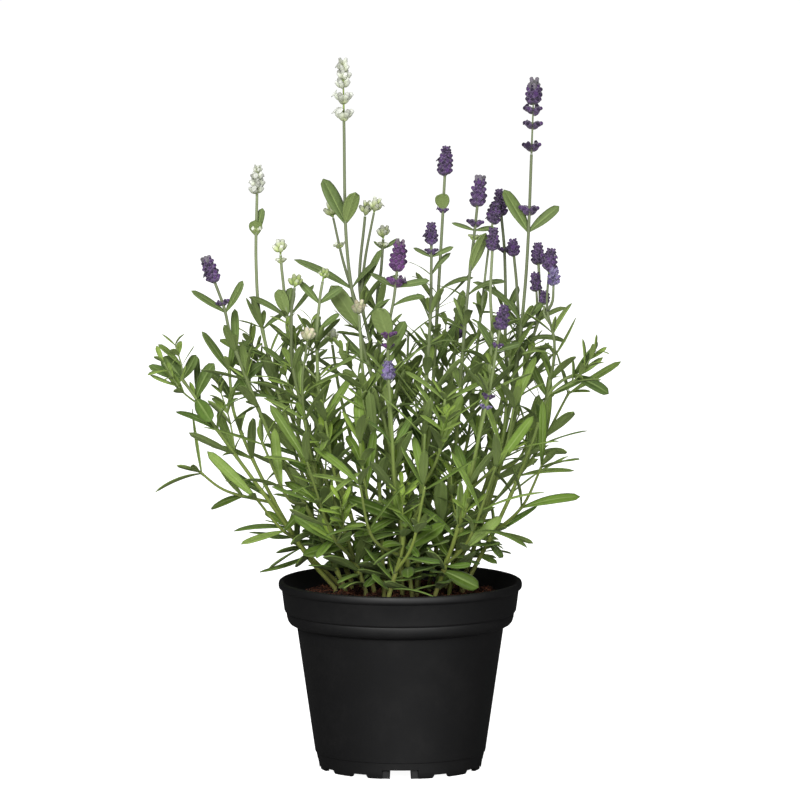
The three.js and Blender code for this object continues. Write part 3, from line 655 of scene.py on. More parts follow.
@dataclass
class Form:
    """A shape modelled once, kept as its points and faces."""

    points: Array
    faces: list[tuple[int, ...]]

    @classmethod
    def taken_from(cls, piece: Piece) -> "Form":
        """Keeps a modelled piece's mesh and removes the piece.

        Args:
            piece: the modelled piece.

        Returns:
            The shape.
        """
        set_mode("OBJECT")
        points = np.array([vertex.co[:] for vertex in piece.data.vertices], dtype=float)
        faces = [tuple(polygon.vertices) for polygon in piece.data.polygons]
        bpy.data.objects.remove(piece)
        return cls(points, faces)


def spread_over(count: int, *values: Values) -> Array:
    """One row for each point, of values that are each a number or one number a point."""
    return np.stack([np.broadcast_to(np.asarray(value, float), (count,)) for value in values], 1)


def set_attribute(mesh: bpy.types.Mesh, name: str, values: Array) -> None:
    """Keeps one number, or the four channels of a colour, for each point of a mesh."""
    kind, label = ("FLOAT_COLOR", "color") if values.shape[1] == 4 else ("FLOAT", "value")
    mesh.attributes.new(name, kind, "POINT").data.foreach_set(label, np.float32(values).ravel())


@dataclass
class Cluster:
    """Copies of forms, gathered into one piece's mesh. Points are in millimetres."""

    points: list[Array] = field(default_factory=list)
    growth: list[Array] = field(default_factory=list)
    under: list[Array] = field(default_factory=list)
    faces: list[tuple[int, ...]] = field(default_factory=list)
    finishes: list[int] = field(default_factory=list)
    count: int = 0

    def add(self, form: Form, points: Array, growth: tuple, finish: int = 0,
            under: Values = 0.0) -> None:
        """Adds one copy.

        Args:
            form: the shape, for its faces.
            points: the copy's own points, in millimetres from the pot's axis.
            growth: four channels that the finish reads, each a number or one a point.
            finish: which of the piece's materials the copy wears.
            under: 1 for each point on a leaf's underside.
        """
        self.faces.extend(tuple(index + self.count for index in face) for face in form.faces)
        self.points.append(points)
        self.growth.append(spread_over(len(points), *growth))
        self.under.append(spread_over(len(points), under))
        self.finishes.extend([finish] * len(form.faces))
        self.count += len(points)

    def piece(self, name: str, *materials: Material) -> Piece:
        """Makes the piece, in metres, in the frame's own coordinates.

        Args:
            name: the piece's name.
            materials: its materials, in the order that the copies' finishes count them.

        Returns:
            The piece.
        """
        mesh = bpy.data.meshes.new(name)
        places = np.concatenate(self.points) * MM + AXIS
        mesh.from_pydata(places.tolist(), [], self.faces)
        set_attribute(mesh, "growth", np.concatenate(self.growth))
        set_attribute(mesh, "under", np.concatenate(self.under))
        mesh.polygons.foreach_set("material_index", self.finishes)
        mesh.polygons.foreach_set("use_smooth", [True] * len(self.faces))
        for material in materials:
            mesh.materials.append(material)
        mesh.validate()
        mesh.update()
        piece = bpy.data.objects.new(name, mesh)
        bpy.context.scene.collection.objects.link(piece)
        return piece


def hand_in(piece: Piece, slot: str, *nodes: str) -> None:
    """Seats a finished piece on the body and hides the solids that it stands for.

    Args:
        piece: the finished piece.
        slot: the record's material slot, not used.
        nodes: the solids that it replaces.
    """
    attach(piece, ROOT_BODY)
    if nodes:
        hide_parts(*nodes)
    log.info("%s: %d faces", piece.name, len(piece.data.polygons))


@dataclass(frozen=True)
class BladePattern:
    """How a leaf blade is modelled, in half widths across and in shares along."""

    columns: int = 6
    rows: int = 10
    thickness: float = 0.14
    fold: float = 0.36
    edge_curl: float = 0.34

    @staticmethod
    def spread(share: float) -> float:
        """Half width at a share of the length: a narrow foot, widest past the middle, blunt.

        Args:
            share: how far along the blade.

        Returns:
            The half width, as a share of the widest.
        """
        foot = 0.2 + 0.8 * math.sin(math.pi / 2 * clamp(share / 0.55, 0, 1)) ** 1.15
        tip = math.sqrt(max(0.0, 1 - clamp((share - 0.62) / 0.38, 0, 1) ** 2.3))
        return max(0.06, foot * tip)

    def form(self) -> Form:
        """Folds a grid column by column, narrows it row by row and gives it its thickness.

        Returns:
            The shape.
        """
        blade = start("grid", x_subdivisions=self.columns, y_subdivisions=self.rows, size=2)
        half = self.columns // 2
        for out in (column / half for column in range(1, half + 1)):
            pick(blade, "VERT", lambda place, out=out: abs(abs(place.x) - out) < NEAR)
            lift = self.fold * out - self.edge_curl * out**4
            bpy.ops.transform.translate(value=(0, 0, lift))
        for row in range(self.rows + 1):
            y, width = -1 + 2 * row / self.rows, self.spread(row / self.rows)
            resize(blade, lambda place, y=y: abs(place.y - y) < NEAR, (width, 1, width), (0, y, 0))
        apply_modifier(blade, "SOLIDIFY", thickness=self.thickness, offset=0)
        return Form.taken_from(blade)


def stem_form(steps: int, easing: float = 0.42) -> Form:
    """Models a square stem, one unit in radius and in length.

    Args:
        steps: how many stretches it has along its length.
        easing: how much is taken off its corners.

    Returns:
        The shape.
    """
    stem = start("cylinder", vertices=4, radius=1, depth=1, location=(0, 0, 0.5))
    pick(stem, "EDGE", is_long)
    bpy.ops.mesh.bevel(offset=easing, segments=1, affect="EDGES")
    pick(stem, "EDGE", is_long)
    bpy.ops.mesh.subdivide(number_cuts=steps - 1)
    return Form.taken_from(stem)


@dataclass(frozen=True)
class FloretPattern:
    """A ribbed calyx with what comes out of it. Length is 1 to the calyx's rim."""

    sides: int = 8
    girth: float = 0.26
    calyx_rib: float = 0.14
    bud_rib: float = 0.12
    petal_rib: float = 0.45
    open_petals: bool = False
    calyx_rings: tuple = ((0.3, 0.0), (0.78, 0.2), (1.05, 0.5), (0.98, 0.8), (0.74, 1.0))
    bud_rings: tuple = ((0.6, 0.86), (0.8, 1.0), (0.74, 1.14), (0.46, 1.23), (0.14, 1.27))
    petal_rings: tuple = ((0.5, 0.92), (0.62, 1.08), (1.5, 1.2), (1.35, 1.27), (0.4, 1.14))

    def form(self) -> tuple[Form, Array]:
        """Models the calyx and the bud or the open petals.

        Returns:
            The shape, and each point's share of petal.
        """
        calyx = self.stack("calyx", self.calyx_rings, self.calyx_rib)
        kind = (self.petal_rings, self.petal_rib) if self.open_petals else (self.bud_rings, self.bud_rib)
        petal = self.stack("petal", *kind)
        first = len(calyx.points)
        faces = calyx.faces + [tuple(index + first for index in face) for face in petal.faces]
        marks = np.repeat([0.0, 1.0], [first, len(petal.points)])
        return Form(np.concatenate([calyx.points, petal.points]), faces), marks

    def stack(self, name: str, rings: tuple, rib: float) -> Form:
        """Turns (share of girth, height) rings, with every second point drawn in by a share.

        Args:
            name: the piece's name.
            rings: the rings, from the foot up.
            rib: how far every second point is drawn in.

        Returns:
            The shape.
        """

        def in_groove(place: Vector) -> bool:
            """True for every second point round the axis."""
            turn = math.atan2(place.y, place.x) / (2 * math.pi) * self.sides
            return round(turn) % 2 == 1 and math.hypot(place.x, place.y) > 1e-5

        profile = [(share * self.girth, height) for share, height in rings]
        piece = turned_piece(name, profile, self.sides, 1.0, np.zeros(3))
        resize(piece, in_groove, (1 - rib, 1 - rib, 1))
        return Form.taken_from(piece)


def crumb_form() -> Form:
    """A rough grain of coir.

    Returns:
        The shape.
    """
    crumb = start("ico_sphere", subdivisions=1, radius=1)
    resize(crumb, lambda place: place.x * place.y > 0.1, (1.4, 0.7, 0.6))
    return Form.taken_from(crumb)


def fibre_form() -> Form:
    """A three-sided thread, one unit long.

    Returns:
        The shape.
    """
    fibre = start("cone", vertices=3, radius1=1, radius2=0.5, depth=1, location=(0, 0, 0.5))
    pick(fibre, "EDGE", is_long)
    bpy.ops.mesh.subdivide(number_cuts=4)
    return Form.taken_from(fibre)


# ---- Pot and soil ----


@dataclass
class Pot:
    """The moulded nursery pot, in millimetres: a tapered wall under a banded rim, on feet."""

    sides: int = 144
    lip_radius: float = 60.3
    lip_top: float = 93.2
    foot_radius: float = 40.3
    foot_width: float = 2.0
    floor_height: float = 5.0
    wall: float = 1.2
    foot_count: int = 12
    notch_height: float = 1.7
    slot_height: float = 4.45
    slot_width: float = 10.4
    rib_width: float = 4.0
    rib_depth: float = 0.9
    drain_radius: float = 4.5
    drain_ring: float = 24.0
    drain_count: int = 6
    drain_sides: int = 24
    easing: float = 0.2
    outside: tuple = (
        (40.1, 0.0), (40.3, 0.3), (40.8, 3.4), (41.75, 7.9), (42.15, 8.15), (42.3, 8.6),
        (51.2, 70.2), (51.5, 70.8), (53.2, 71.4), (54.7, 72.2), (55.6, 73.4), (56.1, 75.0),
        (56.4, 76.9), (56.3, 77.4), (56.5, 77.9), (57.2, 78.3), (57.45, 79.0), (58.75, 88.9),
        (59.5, 89.3), (60.1, 89.9),
    )
    lip: tuple = ((60.3, 90.6), (60.3, 91.9), (60.0, 92.8), (59.4, 93.2), (58.3, 93.2), (57.8, 92.7))
    inside: tuple = (
        (57.4, 88.6), (55.9, 79.0), (55.3, 77.3), (54.6, 74.6), (53.2, 73.0), (50.6, 72.0),
        (50.0, 70.4), (41.1, 6.6), (40.6, 6.2),
    )

    def build(self) -> None:
        """Turns the shell, cuts its feet and drains, and dresses it."""
        ring = self.foot_radius - self.foot_width
        profile = [(ring, self.floor_height), (ring, 0.0), *self.outside, *self.lip, *self.inside]
        pot = turned_piece("nursery_pot", profile, self.sides)
        for index in range(self.foot_count):
            self.cut_foot_gap(pot, index)
        for index in range(self.drain_count + 1):
            self.cut_drain(pot, index)
        apply_modifier(pot, "BEVEL", width=self.easing * MM, segments=1, limit_method="ANGLE",
                       angle_limit=math.radians(50))
        pot.data.materials.clear()
        pot.data.materials.append(PotPlastic().material())
        hold(pot)
        bpy.ops.object.shade_smooth_by_angle(angle=math.radians(32))
        hand_in(pot, "pot", "pot")

    def cut_foot_gap(self, pot: Piece, index: int) -> None:
        """Cuts the gap before one foot: a low notch with slanted ends, or a tall drain slot.

        Args:
            pot: the piece to cut.
            index: the gap's number, round from the right.
        """
        turn = 2 * math.pi * index / self.foot_count
        middle = self.foot_radius - 0.5
        if index % 3:
            narrow = 2 * self.foot_radius * math.sin(math.pi / self.foot_count / 2)
            self.cut_box(pot, turn, middle, (8, narrow, self.notch_height), 0.72)
            return
        self.cut_box(pot, turn, middle, (8, self.slot_width, self.slot_height), 0.94)
        beside = math.atan2((self.slot_width + self.rib_width) / 2, self.foot_radius)
        middle = self.foot_radius + 2 - self.rib_depth
        for near in (turn - beside, turn + beside):
            self.cut_box(pot, near, middle, (4, self.rib_width, self.slot_height), 0.9)

    def cut_box(self, pot: Piece, turn: float, radius: float, size: tuple[float, float, float],
                lean: float) -> None:
        """Cuts a box that stands on the table, with its two ends leaning inwards.

        Args:
            pot: the piece to cut.
            turn: the direction of the box from the axis, in radians.
            radius: the distance of its middle from the axis.
            size: its depth, width and height over the table.
            lean: its width at the top as a share of its width on the table.
        """
        depth, width, height = size
        sizes = (depth * MM, width * MM, (height + 1) * MM)
        middle = (radius * MM, 0, (height - 1) / 2 * MM)
        cutter = start("cube", size=1, location=middle, scale=sizes)
        resize(cutter, lambda place: place.z > 0, (1, lean, 1), (radius * MM, 0, 0))
        cutter.rotation_euler.z = turn
        cutter.location = (AXIS[0], AXIS[1], 0)
        settle(cutter)
        self.subtract(pot, cutter)

    def cut_drain(self, pot: Piece, index: int) -> None:
        """Cuts one drain hole in the floor: the first in the middle, the rest in a ring.

        Args:
            pot: the piece to cut.
            index: the hole's number.
        """
        turn = 2 * math.pi * (index - 0.5) / self.drain_count
        reach = (self.drain_ring if index else 0) * MM
        height = (self.floor_height + self.wall / 2) * MM
        middle = AXIS + (reach * math.cos(turn), reach * math.sin(turn), height)
        self.subtract(pot, start("cylinder", vertices=self.drain_sides, depth=4 * MM,
                                 radius=self.drain_radius * MM, location=middle))

    @staticmethod
    def subtract(piece: Piece, cutter: Piece) -> None:
        """Cuts the cutter out of the piece and removes it."""
        apply_modifier(piece, "BOOLEAN", operation="DIFFERENCE", solver="EXACT", object=cutter)
        bpy.data.objects.remove(cutter)


@dataclass
class SoilBed:
    """The coir that fills the pot, in millimetres."""

    sides: int = 220
    edge_height: float = 84.0
    crown_height: float = 88.0
    radius: float = 54.3
    ring_step: float = 1.15
    crumb_count: int = 2600
    fibre_count: int = 900
    side_rings: tuple = ((40.8, 6.5), (49.7, 72.6), (53.8, 75.0), (54.3, 80.0))

    def height(self, x: float, y: float) -> float:
        """Height of the soil without its grain: a low mound with lumps.

        Args:
            x: sideways from the pot's axis.
            y: backwards from it.

        Returns:
            The height over the table.
        """
        share = min(1.0, math.hypot(x, y) / self.radius)
        mound = self.edge_height + (self.crown_height - self.edge_height) * (1 - share * share)
        lumps = 0.9 * math.sin(0.31 * x + 0.7) * math.cos(0.27 * y - 0.4)
        return mound + lumps + 0.5 * math.sin(0.9 * x + 0.5 * y)

    @staticmethod
    def grain(x: float, y: float, draw: Draw) -> float:
        """How far the rough surface stands over the smooth one."""
        waves = 0.35 * math.sin(2.1 * x + 1.3 * y) * math.sin(1.7 * y - 0.8 * x)
        return waves + 0.28 * math.sin(4.3 * x - 3.1 * y + 1) + 1.1 * (draw() - 0.5)

    def build(self) -> None:
        """Makes the bed and what lies on it."""
        material = CoirSoil().material()
        hand_in(self.bed(material), "soil", "soil")
        cluster, draw = Cluster(), dice(97)
        self.strew_crumbs(cluster, crumb_form(), draw)
        self.strew_fibres(cluster, fibre_form(), draw)
        hand_in(cluster.piece("soil_litter", material), "soil")

    def bed(self, material: Material) -> Piece:
        """The block of soil, turned with many rings across its top, which is then roughened.

        Args:
            material: the soil's material.

        Returns:
            The piece.
        """
        steps = int(self.radius / self.ring_step)
        top = [(self.radius - i * self.ring_step, self.edge_height) for i in range(steps)]
        bed = turned_piece("soil_bed", [*self.side_rings, *top], self.sides)
        draw = dice(41)
        for vertex in bed.data.vertices:
            x, y = (vertex.co.x - AXIS[0]) / MM, (vertex.co.y - AXIS[1]) / MM
            if vertex.co.z < (self.edge_height - 0.5) * MM:
                continue
            at_wall = math.hypot(x, y) > self.radius - 0.2
            rough = 0 if at_wall else self.grain(x, y, draw)
            vertex.co.z = (self.height(x, y) + rough) * MM
        tones = [0.12 + 0.3 * draw() ** 2 for _ in bed.data.vertices]
        set_attribute(bed.data, "growth", spread_over(len(tones), tones, 0, 0, 0))
        bed.data.materials.clear()
        bed.data.materials.append(material)
        bed.data.polygons.foreach_set("use_smooth", [True] * len(bed.data.polygons))
        return bed

    def strew_crumbs(self, cluster: Cluster, crumb: Form, draw: Draw) -> None:
        """Strews loose crumbs over the bed.

        Args:
            cluster: where they are gathered.
            crumb: a crumb's shape.
            draw: gives random shares.
        """
        for _ in range(self.crumb_count):
            x, y = self.strewn(draw, self.radius - 1.2)
            size = 0.3 + 0.75 * draw() ** 2.5
            turned = self.tumbled(crumb.points * size, draw)
            place = np.array([x, y, self.height(x, y) + 0.25 + 0.3 * size])
            cluster.add(crumb, turned + place, (0.05 + 0.5 * draw() ** 2.2, 0, 0, 0))

    def strew_fibres(self, cluster: Cluster, fibre: Form, draw: Draw) -> None:
        """Strews bent fibres over the bed, each lying on the ground below it.

        Args:
            cluster: where they are gathered.
            fibre: a fibre's shape.
            draw: gives random shares.
        """
        for _ in range(self.fibre_count):
            x, y = self.strewn(draw, self.radius - 5)
            length, turn, bend = 2.5 + 6 * draw() ** 1.6, 2 * math.pi * draw(), 3 * (draw() - 0.5)
            along = fibre.points[:, 2]
            thick = (0.1 + 0.1 * draw()) * fibre.points[:, :2]
            ahead, aside = along * length, bend * along**2 + thick[:, 0]
            rise = 0.5 + 1.4 * draw() * np.sin(np.pi * along) + thick[:, 1]
            placed_x = x + ahead * math.cos(turn) - aside * math.sin(turn)
            placed_y = y + ahead * math.sin(turn) + aside * math.cos(turn)
            if np.hypot(placed_x, placed_y).max() >= self.radius - 0.6:
                continue
            ground = np.array([self.height(a, b) for a, b in zip(placed_x, placed_y)])
            points = np.stack([placed_x, placed_y, ground + rise], 1)
            cluster.add(fibre, points, (0.3 + 0.6 * draw() ** 1.5, 0, 0, 0))

    @staticmethod
    def strewn(draw: Draw, radius: float) -> tuple[float, float]:
        """A random place on the soil, even over its area."""
        reach, turn = radius * math.sqrt(draw()), 2 * math.pi * draw()
        return reach * math.cos(turn), reach * math.sin(turn)

    @staticmethod
    def tumbled(points: Array, draw: Draw) -> Array:
        """The points turned at random about two axes."""
        spin, tip = (Matrix.Rotation(2 * math.pi * draw(), 3, axis) for axis in "ZX")
        return points @ np.array(spin @ tip).T


# ---- Stems: where each one runs ----


@dataclass(frozen=True)
class Stem:
    """One stem of the plan, in millimetres from the pot's axis.

    It starts at (x, y), its foot in the soil, or at (stem, share of that stem's length).
    bloom is (colour, length, radius, whorls). Each leaf is (distance below the tip, direction
    round the stem, length, width, opening, arch), and collar (distance below the tip, radius).
    """

    name: str
    start: tuple
    route: tuple = ()
    bloom: tuple | None = None
    leaves: tuple = ()
    collar: tuple | None = None

    @property
    def is_main(self) -> bool:
        """True for a stem with its foot in the soil."""
        return not isinstance(self.start[0], str)


PLANNED_STEMS = (
    ("tall_white", (1, -22), ((-1, -18, 136), (-7, -12, 170), (-20, -2, 218), (-26.5, 4, 260),
     (-27.8, 9, 321.5)), ("white", 31, 4.4, 4), ((51.5, 335, 25, 8.5, 25, 4),
     (51.5, 125, 18, 7.5, 30, 6), (84, 0, 32, 6, 46, 16), (84, 190, 22, 5, 34, 20),
     (104, 40, 26, 9, 24, 6))),
    ("white_behind", ("tall_white", 0.62), ((-28.3, 14, 250.6), (-33.2, 20, 271.3)),
     ("white", 8.3, 3.6, 3)),
    ("twin_white", (-6, -11), ((-4, -6, 150), (-12, 2, 199), (-20, 4, 237), (-17.4, 7, 273.4)),
     ("white", 8, 3.4, 3), ((38, 175, 24, 4.6, 30, 4), (38, 15, 13, 3, 42, 4))),
    ("twin_white_right", ("twin_white", 0.79), ((-17, 1, 255), (-13, -1.8, 275.9)),
     ("white", 8, 3.4, 3)),
    ("far_white", (-24, 10), ((-54.5, 12, 167), (-68.3, 14, 216.6), (-71.3, 15, 248), (-70.8, 15, 284)),
     ("white", 13.5, 4.4, 4), ((21, 80, 8.5, 6.5, 16, 10), (21, 215, 14, 4.2, 12, 6))),
    ("left_white", (-19, 2), ((-40.7, 3, 144), (-53.5, 3, 208), (-58, 3, 243), (-59, 3, 254.5)),
     ("white", 8, 3.6, 3), ((4, 5, 11, 3.2, 40, 4), (4, 178, 8.5, 3, 34, 4), (30, 40, 14, 6.5, 12, 4),
     (30, 200, 14, 6, 16, 4))),
    ("front_white", (-17, -17), ((-49.5, -13, 185), (-53.5, -13, 222), (-52, -14, 240)),
     ("white", 7, 3.5, 3), ((3, 10, 10, 2.6, 26, 4), (3, 190, 9, 3, 44, 4), (131, 15, 24, 9, 80, 8))),
    ("low_white", ("front_white", 0.22), ((-42, -23, 150), (-48, -26, 190), (-45.6, -26, 214.8)),
     ("white", 7, 3.5, 3), ((3, 178, 14, 3, 44, 4),)),
    ("green_bud", (-13, -7), ((-37, -8, 169.6), (-41, -10, 209.7), (-39.7, -11, 233),
     (-38.2, -12, 242.9)), ("white", 7, 2.4, 3), ((11, 0, 15, 4.4, 42, 6), (11, 182, 14, 4.4, 46, 6))),
    ("faded_white", (-8, -21), ((-11, -21, 151), (-18, -21, 196), (-20.2, -21, 227.5)),
     ("white", 7.5, 3.4, 3)),
    ("back_white", (-4, 18), ((-8, 20, 170.8), (-11.5, 22, 225.5), (-9.5, 24, 245), (-8.5, 24, 260.3)),
     ("white", 7, 3.3, 3), ((5, 10, 8, 2.2, 34, 4), (5, 175, 10, 2.4, 48, 4))),
    ("bright_purple", (6, -31), ((-4, -30, 162), (-6, -32, 215), (-3, -32, 237.6), (-1.6, -32, 250.8)),
     ("purple", 16.2, 4.5, 6), ((8.5, 2, 14, 4, 64, 6), (8.5, 184, 17, 4, 68, 10),
     (35, 50, 19, 9.5, 24, 8), (42, 230, 20, 6, 36, 10), (139, 165, 24, 8.5, 62, 6)), (6, 5)),
    ("left_purple", (-27, -7), ((-45.6, -8, 129.4), (-61.9, -8, 160.9), (-74.2, -8, 190.4),
     (-83.1, -8, 214.4), (-86.6, -8, 229.4), (-91.3, -8, 242.4)), ("purple", 14.5, 4.3, 5),
     ((16, 0, 20, 4.8, 42, 4), (16, 180, 18, 4.8, 46, -8)), (12, 3.6)),
    ("tall_purple", (22, 1), ((39.4, 2, 123), (51.7, 2, 168), (57.6, 3, 202), (61.1, 4, 233),
     (63.1, 5, 263), (64.6, 5, 304.3)), ("purple", 39, 4.6, 5), ((38.5, 335, 24.5, 7.5, 34, 4),
     (38.5, 195, 20, 5.6, 47, 4), (84, 2, 34, 5.6, 26, 50), (84, 190, 15, 5, 36, 10),
     (2, 10, 9, 2.4, 68, 6)), (28, 5.2)),
    ("slim_purple", (9, 9), ((15.7, 11, 182), (18.6, 12, 232), (20.6, 12, 267), (22, 12, 293.6)),
     ("purple", 13.5, 4.3, 5), ((17.6, 70, 9, 7, 18, 8),)),
    ("spire_purple", (14, -8), ((27, -8, 159.4), (30.5, -8, 204.4), (33.4, -7, 239.3), (36.4, -6, 266),
     (37.9, -6, 280.1)), ("purple", 16, 4.3, 5), ((12.5, 0, 12, 3, 74, 8), (12.5, 182, 10, 3, 72, 8),
     (33, 160, 21, 7, 14, 6)), (9.5, 4.4)),
    ("pale_purple", ("spire_purple", 0.1), ((24, 1, 130), (33.4, 4, 163), (37.9, 4, 208),
     (42.8, 4, 252), (45.4, 4, 270.1)), ("purple", 10, 4.1, 4)),
    ("dark_purple", (18, 20), ((49.3, 18, 176), (52, 19, 216), (51.7, 20, 252), (50, 20, 272.6)),
     ("purple", 12.5, 4, 5), (), (18, 3.3)),
    ("mid_purple", (24, -12), ((38.4, -12, 165), (44.8, -12, 210), (44.3, -12, 237),
     (45.2, -12, 258.2)), ("purple", 11, 3.9, 4), ((2, 5, 7, 2.4, 60, 6), (2, 182, 8, 2.4, 62, 6))),
    ("short_purple", (25, 12), ((54.2, 12, 177), (58.1, 13, 217), (57.7, 14, 236.6), (56.2, 14, 253)),
     ("purple", 8, 3.9, 3), ((3, 178, 12, 3.4, 62, 4),)),
    ("forked_purple", (30, 5), ((55.2, 6.5, 168), (62.6, 7, 202.6), (68.5, 8, 223.4), (69, 9, 234),
     (68.3, 10, 249.4)), ("purple", 10, 3.9, 4)),
    ("forked_purple_low", ("forked_purple", 0.82), ((67.6, 6.2, 229), (67.2, 4.6, 236.2)),
     ("purple", 9.5, 3.2, 3)),
    ("front_purple", (17, -26), ((29.5, -32, 127.6), (38.4, -34, 168), (44.3, -34, 195),
     (46.8, -34, 211), (48.8, -34, 222)), ("purple", 11.5, 4.1, 4), ((11, 10, 18, 6, 40, 4),
     (11, 182, 13, 3.4, 60, 8), (124, 175, 19, 8, 92, 6)), (9, 3)),
    ("centre_purple", (8, -16), ((11.7, -18, 175.7), (14.7, -20, 226), (15.2, -20, 252),
     (15.2, -20, 262)), ("purple", 10.5, 3.7, 4), ((6, 0, 10, 3, 60, 6), (6, 180, 12, 3, 62, 6)),
     (4, 3.4)),
    ("low_purple", (-6, -37), ((1.3, -38, 118), (-2.6, -42, 144), (-4.1, -44, 174), (-5.6, -44, 198.4)),
     ("purple", 8.5, 3.7, 3), ((70, 15, 31, 8.5, 52, 4), (68, 350, 22, 5, 106, 6),
     (84, 40, 19, 8.5, 112, 10))),
    ("right_shoot", (31, -3), ((49, -2, 123.7), (64, -3, 158.8), (72, -4, 184), (78.9, -5, 192.6),
     (85.8, -6, 196.2)), None, ((1, 0, 21, 5.2, 28, 4), (1, 180, 20, 6, 40, 20),
     (18, 0, 19, 5.6, 54, -6), (18, 182, 22, 3.6, 34, 6))),
    ("cluster_purple", ("right_shoot", 0.84), ((75.4, -6, 201.7), (75.7, -8, 214.4), (72.5, -9, 227),
     (72.3, -9, 237), (73.2, -9, 248.1)), ("purple", 10.5, 4.2, 4)),
    ("cluster_purple_right", ("cluster_purple", 0.7), ((74.8, -14.2, 233.5), (75.2, -17, 241.9)),
     ("purple", 8.5, 3.5, 3)),
    ("cluster_purple_low", ("cluster_purple", 0.6), ((71, -5.4, 226), (70.9, -4.4, 230.3)),
     ("purple", 7, 3, 3)),
    ("left_shoot", (-32, 0), ((-44.6, 0, 103.4), (-61.9, -2, 128.7), (-81.7, -4, 156.4),
     (-95.5, -5, 176.3), (-101.5, -6, 185.7), (-108, -6, 194.7)), None, ((1, 0, 18, 6.4, 30, 4),
     (1, 182, 14, 6, 70, -10), (1, 280, 16, 8, 26, 6), (13, 182, 20, 7, 46, 26),
     (13, 95, 19, 7.5, 110, 30))),
    ("left_inner_shoot", (-30, 8.5), ((-49.5, 6, 110), (-68.3, 6, 142.8), (-81.2, 6, 172.6),
     (-83.6, 6, 186.6), (-84.6, 6, 197.6)), None, ((1, 0, 24, 5.6, 28, 4), (1, 181, 17, 4, 12, 4),
     (12, 182, 22, 6, 42, 20))),
    ("rear_white", (-12, 27), ((-20, 36, 140), (-30, 46, 180), (-34, 48, 205)), ("white", 8, 3.6, 3)),
    ("rear_purple", (8, 29), ((16, 40, 140), (24, 50, 180), (28, 52, 208)), ("purple", 11, 4, 4)),
    ("rear_shoot", (-24, 22), ((-44, 34, 140), (-56, 44, 175), (-62, 47, 192))),
)

# Each side shoot: the stem that it grows on, the share of its length, and two points.
SIDE_SHOOTS = (
    ("front_white", 0.1, (-34, -36, 122), (-46, -50, 160)),
    ("low_purple", 0.12, (6, -50, 118), (12, -62, 148)),
    ("front_purple", 0.12, (34, -42, 120), (47, -52, 158)),
    ("low_purple", 0.2, (-14, -50, 122), (-20, -57, 150)),
    ("short_purple", 0.2, (64, 14, 150), (84, 13, 186)),
    ("far_white", 0.35, (-60, 18, 176), (-76, 20, 203)),
    ("left_purple", 0.28, (-56, -22, 138), (-68, -28, 166)),
    ("left_inner_shoot", 0.42, (-86, 12, 136), (-100, 12, 146)),
    ("rear_shoot", 0.3, (-50, 50, 142), (-58, 60, 172)),
    ("rear_white", 0.25, (-18, 52, 142), (-22, 64, 182)),
    ("rear_purple", 0.25, (18, 54, 140), (20, 66, 184)),
    ("dark_purple", 0.2, (46, 38, 140), (60, 48, 182)),
    ("back_white", 0.3, (2, 32, 168), (4, 36, 212)),
    ("slim_purple", 0.3, (24, 22, 178), (28, 26, 216)),
    ("centre_purple", 0.3, (19, -28, 160), (22, -31, 188)),
    ("green_bud", 0.25, (-32, -24, 148), (-37, -30, 178)),
    ("faded_white", 0.25, (-16, -34, 138), (-20, -40, 168)),
    ("bright_purple", 0.2, (10, -42, 138), (12, -46, 172)),
    ("mid_purple", 0.3, (50, -24, 158), (56, -28, 184)),
    ("right_shoot", 0.25, (60, -16, 132), (70, -22, 154)),
    ("short_purple", 0.35, (60, 24, 152), (70, 30, 180)),
    ("left_shoot", 0.24, (-60, -14, 122), (-72, -20, 138)),
    ("left_white", 0.34, (-42, 20, 168), (-44, 26, 206)),
    ("tall_purple", 0.3, (51, -4, 168), (54, -7, 206)),
)

STEMS = [Stem(*row) for row in PLANNED_STEMS]
for number, (parent, share, *route) in enumerate(SIDE_SHOOTS, 1):
    STEMS.append(Stem(f"side_{number:02}", (parent, share), tuple(route)))


# ---- Lines, leaves and the room they take ----


